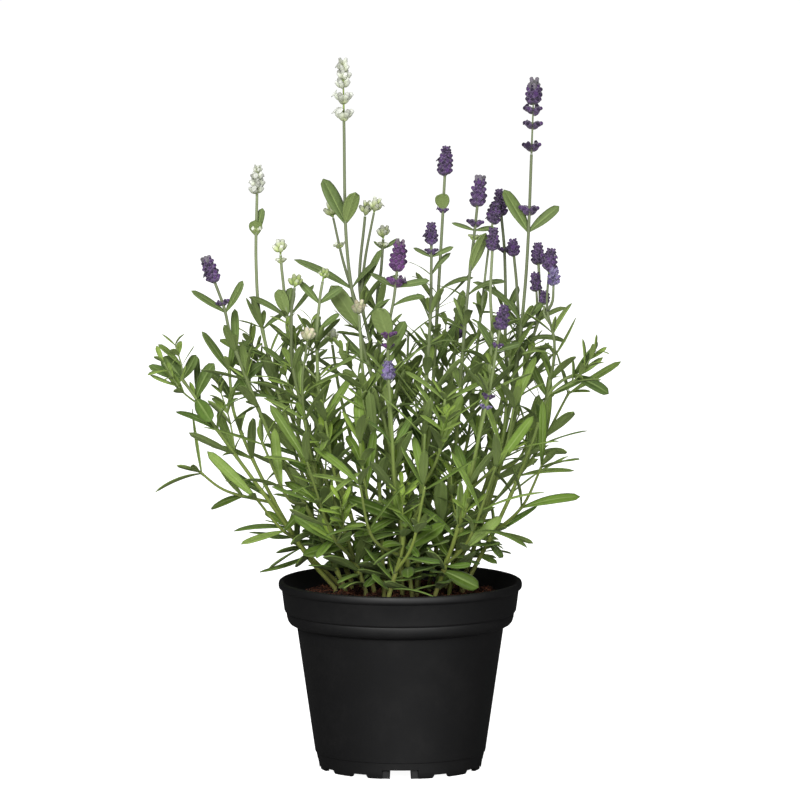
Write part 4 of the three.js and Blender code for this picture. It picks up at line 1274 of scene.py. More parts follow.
class Line:
    """A smooth line through points, measured along its length."""

    steps_per_span = 8
    longest_step = 34.0
    nearby = 1.5

    def __init__(self, points: list[Array]) -> None:
        """Runs a curve through the points.

        Args:
            points: the places that it goes through, in millimetres.
        """
        steps = (len(points) - 1) * self.steps_per_span
        self.marks = np.array([self.curve(points, i / steps) for i in range(steps + 1)])
        gaps = np.sqrt(((self.marks[1:] - self.marks[:-1]) ** 2).sum(1))
        self.reach = np.concatenate([[0.0], np.cumsum(gaps)])
        self.length = float(self.reach[-1])
        self.joints = [0.0]
        ends = self.reach[:: self.steps_per_span]
        for low, high in zip(ends, ends[1:]):
            count = max(1, math.floor((high - low) / self.longest_step + 0.5))
            self.joints += [mix(low, high, step / count) for step in range(1, count + 1)]

    @staticmethod
    def curve(points: list[Array], share: float) -> Array:
        """A point of the uniform Catmull-Rom curve, at a share of its spans.

        Args:
            points: the places that the curve goes through.
            share: how far along it, in spans of equal weight.

        Returns:
            The place.
        """
        place = (len(points) - 1) * share
        index = min(math.floor(place), len(points) - 2)
        t = place - index
        start, end = points[index], points[index + 1]
        before = points[index - 1] if index > 0 else 2 * points[0] - points[1]
        after = points[index + 2] if index + 2 < len(points) else 2 * points[-1] - points[-2]
        leave, arrive = 0.5 * (end - before), 0.5 * (after - start)
        bend = -3 * start + 3 * end - 2 * leave - arrive
        return start + leave * t + bend * t**2 + (2 * start - 2 * end + leave + arrive) * t**3

    @staticmethod
    def span(marks: list[float], distance: float) -> tuple[int, float]:
        """The mark that ends the span round a distance, and the share of the way to it.

        Args:
            marks: rising distances.
            distance: a distance among them.

        Returns:
            The mark's index, and the share.
        """
        i = 1
        while i < len(marks) - 1 and marks[i] < distance:
            i += 1
        return i, (distance - marks[i - 1]) / (marks[i] - marks[i - 1])

    def at(self, distance: float) -> Array:
        """The place at a distance from the start."""
        i, share = self.span(self.reach, clamp(distance, 0.0, self.length))
        return mix(self.marks[i - 1], self.marks[i], share)

    def along(self, distance: float) -> Array:
        """The direction at a distance from the start."""
        ahead = self.at(min(self.length, distance + self.nearby))
        return unit(ahead - self.at(max(0.0, distance - self.nearby)))

    def straight_middle(self, distance: float) -> Array:
        """The place on the straight stretches between the line's joints."""
        i, share = self.span(self.joints, distance)
        return mix(self.at(self.joints[i - 1]), self.at(self.joints[i]), share)


@dataclass
class Growing:
    """A stem as it grows: its plan, its plant, its line, and its radii at foot and tip."""

    plan: Stem
    index: int
    plant: str
    line: Line
    radii: tuple[float, float]
    pairs: list[tuple[float, float]] = field(default_factory=list)


@dataclass(frozen=True)
class Blade:
    """A leaf's own sizes: millimetres, then degrees, then radians, then shares from 0 to 1."""

    length: float
    width: float
    opening: float
    arch: float
    twist: float = 0.0
    roll: float = 0.0
    tone: float = 0.5
    youth: float = 0.0


@dataclass
class Leaf:
    """One blade where it stands on its stem."""

    blade: Blade
    root: Array
    along: Array
    outward: Array
    least_arch = 0.05

    def frames(self, shares: Array) -> tuple[Array, Array, Array]:
        """Middle, width direction and face direction at shares of the length.

        Args:
            shares: how far along the leaf, from 0 to 1.

        Returns:
            Three arrays, with a row for each share.
        """
        blade, side = self.blade, np.cross(self.along, self.outward)
        opening, arch = math.radians(blade.opening), math.radians(blade.arch)
        arch = self.least_arch if abs(arch) < self.least_arch else arch
        angle = opening + arch * shares
        reach = blade.length * (np.sin(angle) - math.sin(opening)) / arch
        drop = blade.length * (math.cos(opening) - np.cos(angle)) / arch
        middle = self.root + np.outer(reach, self.along) + np.outer(drop, self.outward)
        face = np.outer(np.sin(angle), self.along) - np.outer(np.cos(angle), self.outward)
        turn = (blade.roll + blade.twist * shares)[:, None]
        width = side * np.cos(turn) + face * np.sin(turn)
        return middle, width, face * np.cos(turn) - side * np.sin(turn)

    def samples(self, steps: int, reach: int) -> Array:
        """Points spread over the blade, which stand for the room that it takes.

        Args:
            steps: rows along the leaf.
            reach: points to either side of its middle.

        Returns:
            The points.
        """
        shares = np.array([0.14 + 0.86 * i / (steps - 1) for i in range(steps)])
        middle, width, _ = self.frames(shares)
        spread = np.sin(math.pi * np.minimum(0.96, shares * 0.94 + 0.06)) ** 0.6
        offsets = np.arange(-reach, reach + 1) * self.blade.width / (2 * reach)
        across_blade = (spread[:, None] * offsets)[:, :, None] * width[:, None]
        return (middle[:, None] + across_blade).reshape(-1, 3)

    def placed(self, form: Form) -> Array:
        """The points of a blade's form, bent and turned into this leaf's place."""
        middle, width, face = self.frames(np.clip((form.points[:, 1] + 1) / 2, 0, 1))
        return middle + (width * form.points[:, :1] + face * form.points[:, 2:]) * self.blade.width / 2


@dataclass
class Room:
    """What is taken already, so that leaves grow where there is room."""

    soil: SoilBed
    pot: Pot
    own_bloom_clearance: float = 2.4
    wall_gap: float = 1.5
    lip_gap: float = 1.2
    soil_gap: float = 1.4
    slack: float = 1.0
    taken: list[tuple] = field(default_factory=list)

    def claim(self, plant: str, points: Array, pad: float = 0.0, stem: str = "") -> None:
        """Takes the room round a plant's points, which need pad more, and may be a stem's line."""
        self.taken.append((plant, stem, pad, points, points.min(0), points.max(0)))

    def clears_pot(self, points: Array) -> bool:
        """True if no point is in the pot's wall or the soil.

        Args:
            points: the points.

        Returns:
            Whether they clear both.
        """
        for x, y, z in points:
            radius = math.hypot(x, y)
            if radius > self.pot.lip_radius + self.wall_gap:
                continue
            over_wall = radius > self.soil.radius - self.wall_gap
            soil_top = self.soil.height(x, y) + self.soil_gap
            if z <= (self.pot.lip_top + self.lip_gap if over_wall else soil_top):
                return False
        return True

    def in_reach(self, points: Array) -> bool:
        """True if no point is further out than the solids reach."""
        low, high = (np.array(corner) / MM - AXIS / MM for corner in cad_bounds)
        return bool((points > low - self.slack).all() and (points < high + self.slack).all())

    def has_room(self, points: Array, stem: Growing, keep: tuple[float, float]) -> bool:
        """True if the points keep clear of the pot, the soil and all that is taken.

        Args:
            points: the new leaf's samples.
            stem: the stem that it grows on, which it may touch.
            keep: its clearance from the rest of its own plant and from other plants.

        Returns:
            Whether there is room.
        """
        if not self.clears_pot(points):
            return False
        plants, stems, pads, clouds, lows, highs = (list(column) for column in zip(*self.taken))
        plants, stems, pads = np.array(plants), np.array(stems), np.array(pads)
        reach = np.where(plants == stem.plant, keep[0], keep[1] + pads)
        reach = np.where(stems == stem.plan.name, 0.0, reach)
        own_bloom = plants == f"bloom_{stem.plan.name}"
        reach = np.where(own_bloom, self.own_bloom_clearance + pads, reach)
        near = (np.array(lows) - reach[:, None] <= points.max(0)).all(1)
        near &= (np.array(highs) + reach[:, None] >= points.min(0)).all(1)
        for index in np.nonzero(near & (reach > 0))[0]:
            gaps = points[:, None] - clouds[index][None]
            if (gaps**2).sum(2).min() < reach[index] ** 2:
                return False
        return True


# ---- The plants ----


@dataclass
class Plants:
    """The stems and leaves, grown by the same rule as their solids, with small leaves added.

    Lengths are in millimetres. Each try is (swing, opening, share of the length), each of the
    keep fields the clearance from a leaf's own plant and from other plants, and each of the
    seeds what a stem's number, a pair's and a side's count for in its draws. The ranges are
    those of a Blade's own sizes, and each slip is (stem, distance below its tip, direction,
    length, width, opening, arch).
    """

    soil: SoilBed
    pot: Pot
    stem_rise: float = 2.2
    hole_depth: float = 12.0
    stem_radii: tuple = (1.55, 1.0)
    shoot_radii: tuple = (1.15, 0.8)
    twig_radii: tuple = (0.72, 0.45)
    stem_pad: float = 0.5
    bloom_inset: float = 1.4
    named_keep: tuple = (0.0, 2.7)
    pair_keep: tuple = (2.0, 2.7)
    slip_keep: tuple = (0.0, 0.5)
    basal_keep: tuple = (0.9, 1.3)
    between_keep: tuple = (1.3, 1.6)
    tuft_keep: tuple = (0.7, 1.0)
    twig_keep: tuple = (0.6, 1.0)
    pair_seeds: tuple = (7919, 1049, 31)
    basal_seeds: tuple = (6131, 389, 7)
    between_seeds: tuple = (3571, 577, 13)
    tuft_seeds: tuple = (9311, 733, 17)
    pair_ranges: tuple = ((30, 52), (-4, 30), (-0.45, 0.45), (0,), (0, 1))
    basal_ranges: tuple = (
        (15, 29), (0.22, 0.32), (40, 82), (-24, 40), (-0.6, 0.6), (-0.4, 0.4), (0, 0.8), (0, 0.25),
    )
    between_ranges: tuple = (
        (0.7, 1.08), (0.8, 0.98), (24, 54), (-14, 66), (-0.65, 0.65), (-0.25, 0.25), (0, 1),
    )
    tuft_ranges: tuple = (
        (9, 18), (2.4, 3.8), (22, 48), (0, 36), (-0.3, 0.3), (0,), (0, 1), (0.3, 0.8),
    )
    twig_ranges: tuple = ((11, 19), (3, 4.4), (24, 50), (-6, 38), (-0.35, 0.35), (0,), (0, 1))
    named_roll: float = 0.75
    named_twist: float = 0.2
    main_internode: float = 45.0
    side_internode: float = 24.0
    first_pair: float = 10.0
    bare_length: float = 26.0
    bare_height: float = 226.0
    bare_top: float = 246.0
    crowded_from: float = 150.0
    twigs_below: float = 195.0
    bare_soil_from: float = 24.0
    basal_pairs: int = 6
    thin_reach: float = 46.0
    thin_height: float = 178.0
    slip_twist: float = 0.5
    slip_youth: float = 0.1
    sample_step: float = 2.0
    first_whorl: float = 1.6
    broad_from: float = 3.4
    tries: tuple = (
        (0, 0, 1), (14, 5, 1), (-14, 5, 1), (27, -7, 1), (-27, -7, 1), (40, 10, 0.9),
        (-40, 10, 0.9), (18, -12, 0.75), (-18, 16, 0.75), (6, 6, 0.55),
    )
    small_tries: tuple = ((0, 0, 1), (30, 10, 0.9), (-30, 10, 0.85), (75, 0, 0.8))
    slips: tuple = (
        ("tall_purple", 0.6, 182, 9, 2.4, 78, -14), ("mid_purple", 2.5, 185, 7, 2.2, 70, 0),
        ("slim_purple", 58, 185, 19, 3.4, 46, 40), ("slim_purple", 60, 10, 17, 3.2, 34, 46),
        ("centre_purple", 15, 200, 15, 3.2, 30, 26), ("centre_purple", 15, 5, 13, 3, 46, 26),
        ("spire_purple", 45, 190, 21, 3.8, 38, 54), ("spire_purple", 47, 355, 17, 3.4, 48, 44),
        ("dark_purple", 60, 185, 19, 3.4, 52, 36), ("tall_purple", 94, 185, 24, 3.8, 52, 58),
        ("tall_purple", 96, 5, 16, 4.4, 24, 10), ("mid_purple", 48, 5, 17, 3.4, 30, 22),
        ("mid_purple", 50, 185, 15, 3.2, 34, 26), ("bright_purple", 18, 190, 17, 3.8, 44, 36),
        ("green_bud", 26, 200, 15, 3.6, 40, 20), ("twin_white", 58, 190, 18, 4.2, 30, 16),
        ("back_white", 24, 180, 12, 2.8, 38, 26), ("far_white", 68, 190, 13, 3.4, 52, 26),
    )
    crowded_out: dict[str, list[tuple]] = field(default_factory=dict)
    stems: dict[str, Growing] = field(default_factory=dict)
    leaves: dict[str, list[Leaf]] = field(default_factory=dict)
    twigs: dict[str, list[Growing]] = field(default_factory=dict)

    def grow(self) -> None:
        """Runs the stems, then grows the listed leaves, the common pairs and the rest."""
        self.room = Room(self.soil, self.pot)
        for index, plan in enumerate(STEMS):
            self.run_stem(index, plan)
        for step in (self.claim_stem, self.grow_named, self.grow_pairs, self.grow_crowded_out,
                     self.grow_slips, self.grow_basal, self.grow_between, self.grow_tufts):
            for stem in self.stems.values():
                step(stem)
            log.info("%s: %d leaves", step.__name__, sum(map(len, self.leaves.values())))

    def run_stem(self, index: int, plan: Stem) -> None:
        """Lays out one stem's line.

        Args:
            index: the stem's number in the plan.
            plan: where it runs.
        """
        if plan.is_main:
            x, y = plan.start
            start = np.array([x, y, self.soil.height(x, y) + self.stem_rise])
            plant, radii = plan.name, self.stem_radii
        else:
            name, share = plan.start
            parent = self.stems[name]
            start = parent.line.straight_middle(parent.line.length * share)
            plant, radii = parent.plant, self.shoot_radii
        line = Line([start, *(np.array(point, float) for point in plan.route)])
        self.stems[plan.name] = Growing(plan, index, plant, line, radii)
        self.leaves.setdefault(plant, [])
        self.twigs.setdefault(plant, [])

    def claim_stem(self, stem: Growing) -> None:
        """Takes the room of a stem and its flower head.

        Args:
            stem: the stem.
        """
        line, plan = stem.line, stem.plan
        count = math.ceil(line.length / self.sample_step)
        marks = np.array([line.at(line.length * i / count) for i in range(count + 1)])
        self.room.claim(stem.plant, marks, self.stem_pad, plan.name)
        if plan.bloom:
            _, length, radius, _ = plan.bloom
            count = math.ceil(length / self.sample_step)
            tip, along = line.at(line.length), line.along(line.length)
            heights = [mix(self.first_whorl, length, i / count) for i in range(count + 1)]
            marks = np.array([tip + along * height for height in heights])
            self.room.claim(f"bloom_{plan.name}", marks, radius - self.bloom_inset)

    def grow_leaf(self, stem: Growing, distance: float, direction: float, blade: Blade,
                  keep: tuple[float, float], is_small: bool = True) -> bool:
        """Grows a leaf where it has room: swung round, opened, and at last made shorter.

        Args:
            stem: the stem that it grows on.
            distance: how far along the stem.
            direction: the direction round the stem, in degrees.
            blade: the leaf's sizes.
            keep: its clearance from the rest of its own plant and from other plants.
            is_small: whether only this finer model has it.

        Returns:
            True if it found room.
        """
        root, along = stem.line.at(distance), stem.line.along(distance)
        for swing, opened, share in self.small_tries if is_small else self.tries:
            tried = replace(blade, length=blade.length * share, opening=blade.opening + opened,
                            width=blade.width * math.sqrt(share))
            leaf = Leaf(tried, root, along, away(along, math.radians(direction + swing)))
            samples = leaf.samples(7, 1) if is_small else leaf.samples(12, 2)
            if is_small and not self.room.in_reach(samples):
                continue
            if self.room.has_room(samples, stem, keep):
                self.room.claim(stem.plant, samples)
                self.leaves[stem.plant].append(leaf)
                return True
        return False

    def roll_to_view(self, direction: float) -> float:
        """The roll that turns a listed leaf towards the viewer, by its direction."""
        turn = math.radians(direction)
        return (self.named_roll if math.sin(turn) > 0.3 else -self.named_roll) * math.cos(turn)

    def grow_named(self, stem: Growing) -> None:
        """Grows the listed leaves.

        Args:
            stem: the stem that they grow on.
        """
        for order, (below, direction, *sizes) in enumerate(stem.plan.leaves):
            draw = dice(5003 * (stem.index + 1) + order)
            blade = Blade(*sizes, self.named_twist, self.roll_to_view(direction),
                          0.06 + 0.4 * draw(), 0.2 * draw())
            distance = stem.line.length - below
            if not self.grow_leaf(stem, distance, direction, blade, self.named_keep, is_small=False):
                slim = replace(blade, width=blade.width * 0.85)
                self.crowded_out.setdefault(stem.plan.name, []).append((distance, direction, slim))

    def grow_crowded_out(self, stem: Growing) -> None:
        """Grows the listed leaves that the solids had no room for."""
        for leaf in self.crowded_out.get(stem.plan.name, ()):
            self.grow_leaf(stem, *leaf, self.slip_keep)

    def grow_slips(self, stem: Growing) -> None:
        """Grows the small leaves that are listed for this finer model alone.

        Args:
            stem: the stem that they grow on.
        """
        for order, (name, below, direction, *sizes) in enumerate(self.slips):
            if name == stem.plan.name:
                roll, tone = 0.4 * self.roll_to_view(direction), 0.7 * dice(31 * order + 5)()
                blade = Blade(*sizes, self.slip_twist, roll, tone, self.slip_youth)
                self.grow_leaf(stem, stem.line.length - below, direction, blade, self.slip_keep)

    @staticmethod
    def common_size(height: float, draw: Draw) -> tuple[float, float]:
        """Length and width by height: broad low leaves, long middle ones, small top ones.

        Args:
            height: the leaf's height over the table.
            draw: gives random shares.

        Returns:
            Length and width.
        """
        low = clamp((140 - height) / 40, 0, 1)
        high = clamp((height - 175) / 45, 0, 1)
        length, width = 31 - 6 * low - 9 * high, 5 + 1.4 * low - 0.8 * high
        return length * (0.86 + 0.28 * draw()), width * (0.88 + 0.24 * draw())

    @staticmethod
    def pair(stem: Growing, order: int, seeds: tuple[int, int, int]) -> Iterator[tuple[int, Draw]]:
        """The turn in degrees of each of a pair's two leaves, with its own source of draws.

        Args:
            stem: the stem that they grow on.
            order: the pair's number on the stem.
            seeds: one of the seeds fields.

        Returns:
            The turns and the sources.
        """
        by_stem, by_pair, by_side = seeds
        for side in range(2):
            seed = by_stem * (stem.index + 1) + by_pair * (order + 1) + by_side * side
            yield 180 * side, dice(seed)

    @staticmethod
    def youth(stem: Growing, height: float) -> float:
        """How yellow-green a leaf is: the side shoots' more than the main stems'."""
        return clamp((0.08 if stem.plan.is_main else 0.35) + (height - 190) / 400, 0, 0.6)

    def grow_pairs(self, stem: Growing) -> None:
        """Grows the common pairs, each crosswise to the pair below.

        Args:
            stem: the stem that they grow on.
        """
        plan, line = stem.plan, stem.line
        internode = self.main_internode if plan.is_main else self.side_internode
        first = self.first_pair + (4 * (stem.index % 3) if plan.is_main else 0)
        last = line.length - (self.bare_length if plan.bloom else 2)
        for order in range(max(1, math.floor((last - first) / internode) + 1)):
            distance = first + order * internode if plan.bloom else last - order * internode
            height = float(line.at(distance)[2])
            if plan.bloom and height > self.bare_height:
                break
            base = 90 * order + 67 * stem.index
            stem.pairs.append((distance, base))
            for side, draw in self.pair(stem, order, self.pair_seeds):
                size = self.common_size(height, draw)
                direction = base + side + 24 * (draw() - 0.5)
                opening, *rest = drawn(draw, self.pair_ranges)
                opening += clamp((125 - height) * 0.5, 0, 24)
                blade = Blade(*size, opening, *rest, self.youth(stem, height))
                self.grow_leaf(stem, distance, direction, blade, self.pair_keep, is_small=False)

    def is_open_edge(self, place: Array) -> bool:
        """True low down on the outer stems, where the plant is thin."""
        return math.hypot(place[0], place[1]) > self.thin_reach and place[2] < self.thin_height

    def grow_between(self, stem: Growing) -> None:
        """Adds narrower pairs between the common ones, and some over the highest of them.

        Args:
            stem: the stem that they grow on.
        """
        plan, line = stem.plan, stem.line
        internode = self.main_internode if plan.is_main else self.side_internode
        places = []
        for distance, direction in stem.pairs:
            is_crowded = plan.is_main and line.at(distance)[2] > self.crowded_from
            for i, step in enumerate((1 / 3, 2 / 3) if is_crowded else (1 / 2,)):
                places.append((distance + internode * step, direction + 90 * (i + 1)))
        for order, (middle, base) in enumerate(places):
            place = line.at(middle)
            height = float(place[2])
            if (middle > line.length - (self.bare_length if plan.bloom else 4)
                    or plan.bloom and height > self.bare_top
                    or self.is_open_edge(place) and order % 2):
                continue
            stem.pairs.append((middle, base))
            for side, draw in self.pair(stem, order, self.between_seeds):
                length, width = self.common_size(height, draw)
                longer, wider, *rest = drawn(draw, self.between_ranges)
                blade = Blade(length * longer, width * wider, *rest, self.youth(stem, height))
                direction = base + side + 30 * (draw() - 0.5)
                self.grow_leaf(stem, middle, direction, blade, self.between_keep)

    def grow_basal(self, stem: Growing) -> None:
        """Adds the crowded leaves that hide a main stem's foot.

        Args:
            stem: the stem that they grow on.
        """
        for order in range(self.basal_pairs if stem.plan.is_main else 0):
            for side, draw in self.pair(stem, order, self.basal_seeds):
                length, slimness, *rest = drawn(draw, self.basal_ranges)
                blade = Blade(length, length * slimness, *rest)
                distance = 3 + 5.5 * order + 3 * draw()
                if order < 3 and abs(stem.line.at(distance)[0]) > self.bare_soil_from:
                    continue
                direction = 90 * order + side + 67 * stem.index + 45 + 50 * (draw() - 0.5)
                self.grow_leaf(stem, distance, direction, blade, self.basal_keep)

    def grow_tufts(self, stem: Growing) -> None:
        """Adds the tufts of small leaves that stand in the leaf axils, and short twigs.

        Args:
            stem: the stem that they grow on.
        """
        for order, (distance, direction) in enumerate(stem.pairs):
            place = stem.line.at(distance)
            for side, draw in self.pair(stem, order, self.tuft_seeds):
                base = direction + side
                if self.is_open_edge(place) and draw() < 0.6:
                    continue
                if draw() < 0.3 and place[2] < self.twigs_below:
                    self.grow_twig(stem, distance, base + 60 * (draw() - 0.5), draw)
                    continue
                for turn in (-26, 24):
                    if draw() < 0.25:
                        continue
                    blade = Blade(*drawn(draw, self.tuft_ranges))
                    self.grow_leaf(stem, distance + 1, base + turn, blade, self.tuft_keep)

    def grow_twig(self, stem: Growing, distance: float, direction: float, draw: Draw) -> None:
        """Adds a short twig with crosswise pairs of small leaves.

        Args:
            stem: the stem that it grows on.
            distance: how far along the stem.
            direction: the direction round it, in degrees.
            draw: gives random shares.
        """
        root, along = stem.line.at(distance), stem.line.along(distance)
        outward = away(along, math.radians(direction))
        length = 14 + 20 * draw()
        lean = 0.75 + 0.3 * draw()
        middle = root + length * (0.45 * along + 0.34 * lean * outward)
        tip = root + length * (0.9 * along + 0.5 * lean * outward + np.array([0, 0, 0.12]))
        line = Line([root, middle, tip])
        marks = np.array([line.at(line.length * (0.25 + 0.75 * i / 8)) for i in range(9)])
        if not self.room.has_room(marks, stem, self.basal_keep):
            return
        plan = Stem(f"{stem.plan.name}_twig", (stem.plan.name, distance))
        twig = Growing(plan, stem.index, stem.plant, line, self.twig_radii)
        self.room.claim(stem.plant, marks, 0.0, plan.name)
        self.twigs[stem.plant].append(twig)
        count = 2 + int(length > 20) + int(length > 27)
        for order in range(count + 1):
            share = order / count
            reach = 1 - 0.45 * share
            for side in (0, 180):
                long, wide, *rest = drawn(draw, self.twig_ranges)
                blade = Blade(long * reach, wide * math.sqrt(reach), *rest, 0.35 + 0.5 * share)
                turn = direction + 90 * order + side + 30 * (draw() - 0.5)
                place = line.length * (0.42 + 0.58 * share)
                self.grow_leaf(twig, place, turn, blade, self.twig_keep)

    def build(self) -> None:
        """Makes one piece for each plant: its stems, twigs and leaves."""
        materials = StemSkin().material(), LeafSkin().material()
        broad, narrow = BladePattern().form(), BladePattern(columns=2, rows=8).form()
        tubes = {steps: stem_form(steps) for steps in (6, 20, 60)}
        for plant, leaves in self.leaves.items():
            cluster = Cluster()
            own = [stem for stem in self.stems.values() if stem.plant == plant]
            for stem in own + self.twigs[plant]:
                self.add_stem(cluster, stem, tubes)
            for leaf in leaves:
                blade = leaf.blade
                form = broad if blade.width > self.broad_from else narrow
                side, along = form.points[:, 0], (form.points[:, 1] + 1) / 2
                place = 0.5 + 0.5 * side / [BladePattern.spread(share) for share in along]
                growth = (place, along, blade.tone, blade.youth)
                cluster.add(form, leaf.placed(form), growth, 1, self.underside(form))
            hand_in(cluster.piece(f"{plant}_leafy_stem", *materials), "leafy_stem", f"stem_{plant}")

    @staticmethod
    def underside(form: Form) -> Array:
        """1 for the points of a blade's lower face, which come as one half of its points."""
        first, second = (half[:, 2].mean() for half in np.split(form.points, 2))
        return np.repeat([float(first < second), float(first >= second)], len(form.points) // 2)

    def add_stem(self, cluster: Cluster, stem: Growing, tubes: dict[int, Form]) -> None:
        """Adds a stem, swollen a little at its leaf pairs, with its foot in the soil.

        Args:
            cluster: where the plant's copies are gathered.
            stem: the stem.
            tubes: a stem's shape for each number of stretches.
        """
        line, is_main = stem.line, stem.plan.is_main
        below = self.hole_depth + self.stem_rise if is_main else 0.0
        total = line.length + below
        form = tubes[min((count for count in tubes if count * 4 >= total), default=max(tubes))]
        places = np.empty_like(form.points)
        heights = np.empty(len(places))
        for share in np.unique(np.round(form.points[:, 2], 5)):
            distance = share * total - below
            upright = np.array([0, 0, 1.0])
            middle = line.at(max(0.0, distance)) + min(0.0, distance) * upright
            left, front = across(line.along(distance) if distance > 0 or not is_main else upright)
            radius = mix(*stem.radii, clamp(distance / line.length, 0, 1))
            swell = sum(math.exp(-(((distance - at) / 1.3) ** 2)) for at, _ in stem.pairs)
            radius *= 1 + 0.28 * min(1.0, swell)
            ring = np.abs(form.points[:, 2] - share) < 1e-4
            flat = form.points[ring] * radius
            places[ring] = middle + flat[:, :1] * left + flat[:, 1:2] * front
            heights[ring] = clamp((middle[2] - 84) / 190, 0, 1)
        cluster.add(form, places, (0.5, heights, dice(271 * (stem.index + 1))(), 0))


# ---- The flower heads ----


@dataclass
class Florets:
    """The florets of one spike, which stand in rings or in two opposite fans."""

    heads: "FlowerHeads"
    base: Array
    along: Array
    is_white: bool
    draw: Draw
    cluster: Cluster = field(default_factory=Cluster)
    tall: float = 1.27
    fan: int = 5
    fan_spread: float = 2.0

    def add_ring(self, height: float, radius: float, count: int, opening: float,
                 order: float, is_shut: bool = False) -> None:
        """Adds florets all round the axis, whose tips reach the ring's radius.

        Args:
            height: the ring's height over the foot of the spike.
            radius: how far the tips stand from the axis.
            count: florets in the ring.
            opening: the florets' angle from the axis, in radians.
            order: the ring's place in the spike, which turns it.
            is_shut: whether they show no petals yet.
        """
        for i in range(count):
            turn = 2 * math.pi * (i + 0.5 * order) / count + 0.35 * (self.draw() - 0.5)
            self.add_one(height, radius, turn, opening, is_shut)

    def add_posy(self, length: float, radius: float) -> None:
        """Adds the few florets of a small head: four spread ones and three upright ones.

        Args:
            length: the head's length.
            radius: how far the spread ones reach.
        """
        for i in range(4):
            self.add_one(0.5 * length, radius, math.pi / 2 * i + 0.3, 0.74)
        for i in range(3):
            self.add_one(length - 1.2, radius * 0.58, 2.1 * i + 1.1, 0.34)

    def add_fans(self, height: float, radius: float) -> None:
        """Adds a whorl that stands apart: a fan of florets on either side of the axis.

        Args:
            height: the whorl's height over the foot of the spike.
            radius: how far the tips stand from the axis.
        """
        widest = 0.82 if self.is_white else 1.22
        for side in (0, math.pi):
            for i in range(self.fan):
                share = i / (self.fan - 1) - 0.5
                turn = side + self.fan_spread * share + 0.2 * (self.draw() - 0.5)
                inner = i % 2
                self.add_one(height, radius * (1 - 0.24 * inner), turn, widest - 0.42 * inner)

    def add_one(self, height: float, radius: float, turn: float, opening: float,
                is_shut: bool = False) -> None:
        """Adds one floret in a direction round the axis, a bud or, sometimes, an open one.

        Args:
            height: its whorl's height over the foot of the spike.
            radius: how far its tip stands from the axis.
            turn: its direction round the axis, in radians.
            opening: its angle from the axis, in radians.
            is_shut: whether it shows no petals yet.
        """
        draw, along, heads = self.draw, self.along, self.heads
        outward = away(along, turn)
        lean = opening + 0.24 * (draw() - 0.5)
        aim = along * math.cos(lean) + outward * math.sin(lean)
        is_open = draw() < (0.22 if self.is_white else 0.12) and opening > 0.7 and not is_shut
        form, petal = heads.open if is_open else heads.bud
        size = (radius - 0.35) / math.sin(lean) / self.tall * (0.94 + 0.16 * draw())
        size = clamp(size, 2.3, 4.7 if self.is_white else 4.3)
        girth = size * (1.36 if self.is_white else 1.3)
        foot = height + heads.bud_lift - size * self.tall * math.cos(lean)
        side = np.cross(along, outward)
        x, y, z = (form.points[:, i : i + 1] for i in range(3))
        placed = self.base + along * foot + outward * 0.35 + z * size * aim
        placed = placed + girth * (x * side + y * np.cross(aim, side))
        growth = (np.clip(z[:, 0], 0, 1), draw(), petal * 0.2 if is_shut else petal, 0.35 * is_shut)
        self.cluster.add(form, placed, growth)

    def add_axis(self, length: float) -> None:
        """Adds the green axis that the florets stand on.

        Args:
            length: how far it stands up.
        """
        left, front = across(self.along)
        x, y, z = (self.heads.axis.points[:, i : i + 1] for i in range(3))
        taper = self.heads.axis_radius * (1 - 0.4 * z)
        placed = self.base + z * length * self.along + taper * (x * left + y * front)
        self.cluster.add(self.heads.axis, placed, (0, 0.5, 0, 1))

    def add_bracts(self, height: float) -> None:
        """Adds the two papery bracts under a whorl.

        Args:
            height: their height over the foot of the spike.
        """
        for side in (0, math.pi):
            outward = away(self.along, side + 0.3 * self.draw())
            leaf = Leaf(self.heads.bract, self.base + self.along * height, self.along, outward)
            placed = leaf.placed(self.heads.bract_form)
            self.cluster.add(self.heads.bract_form, placed, (0.2, self.draw(), 0, 0.8))


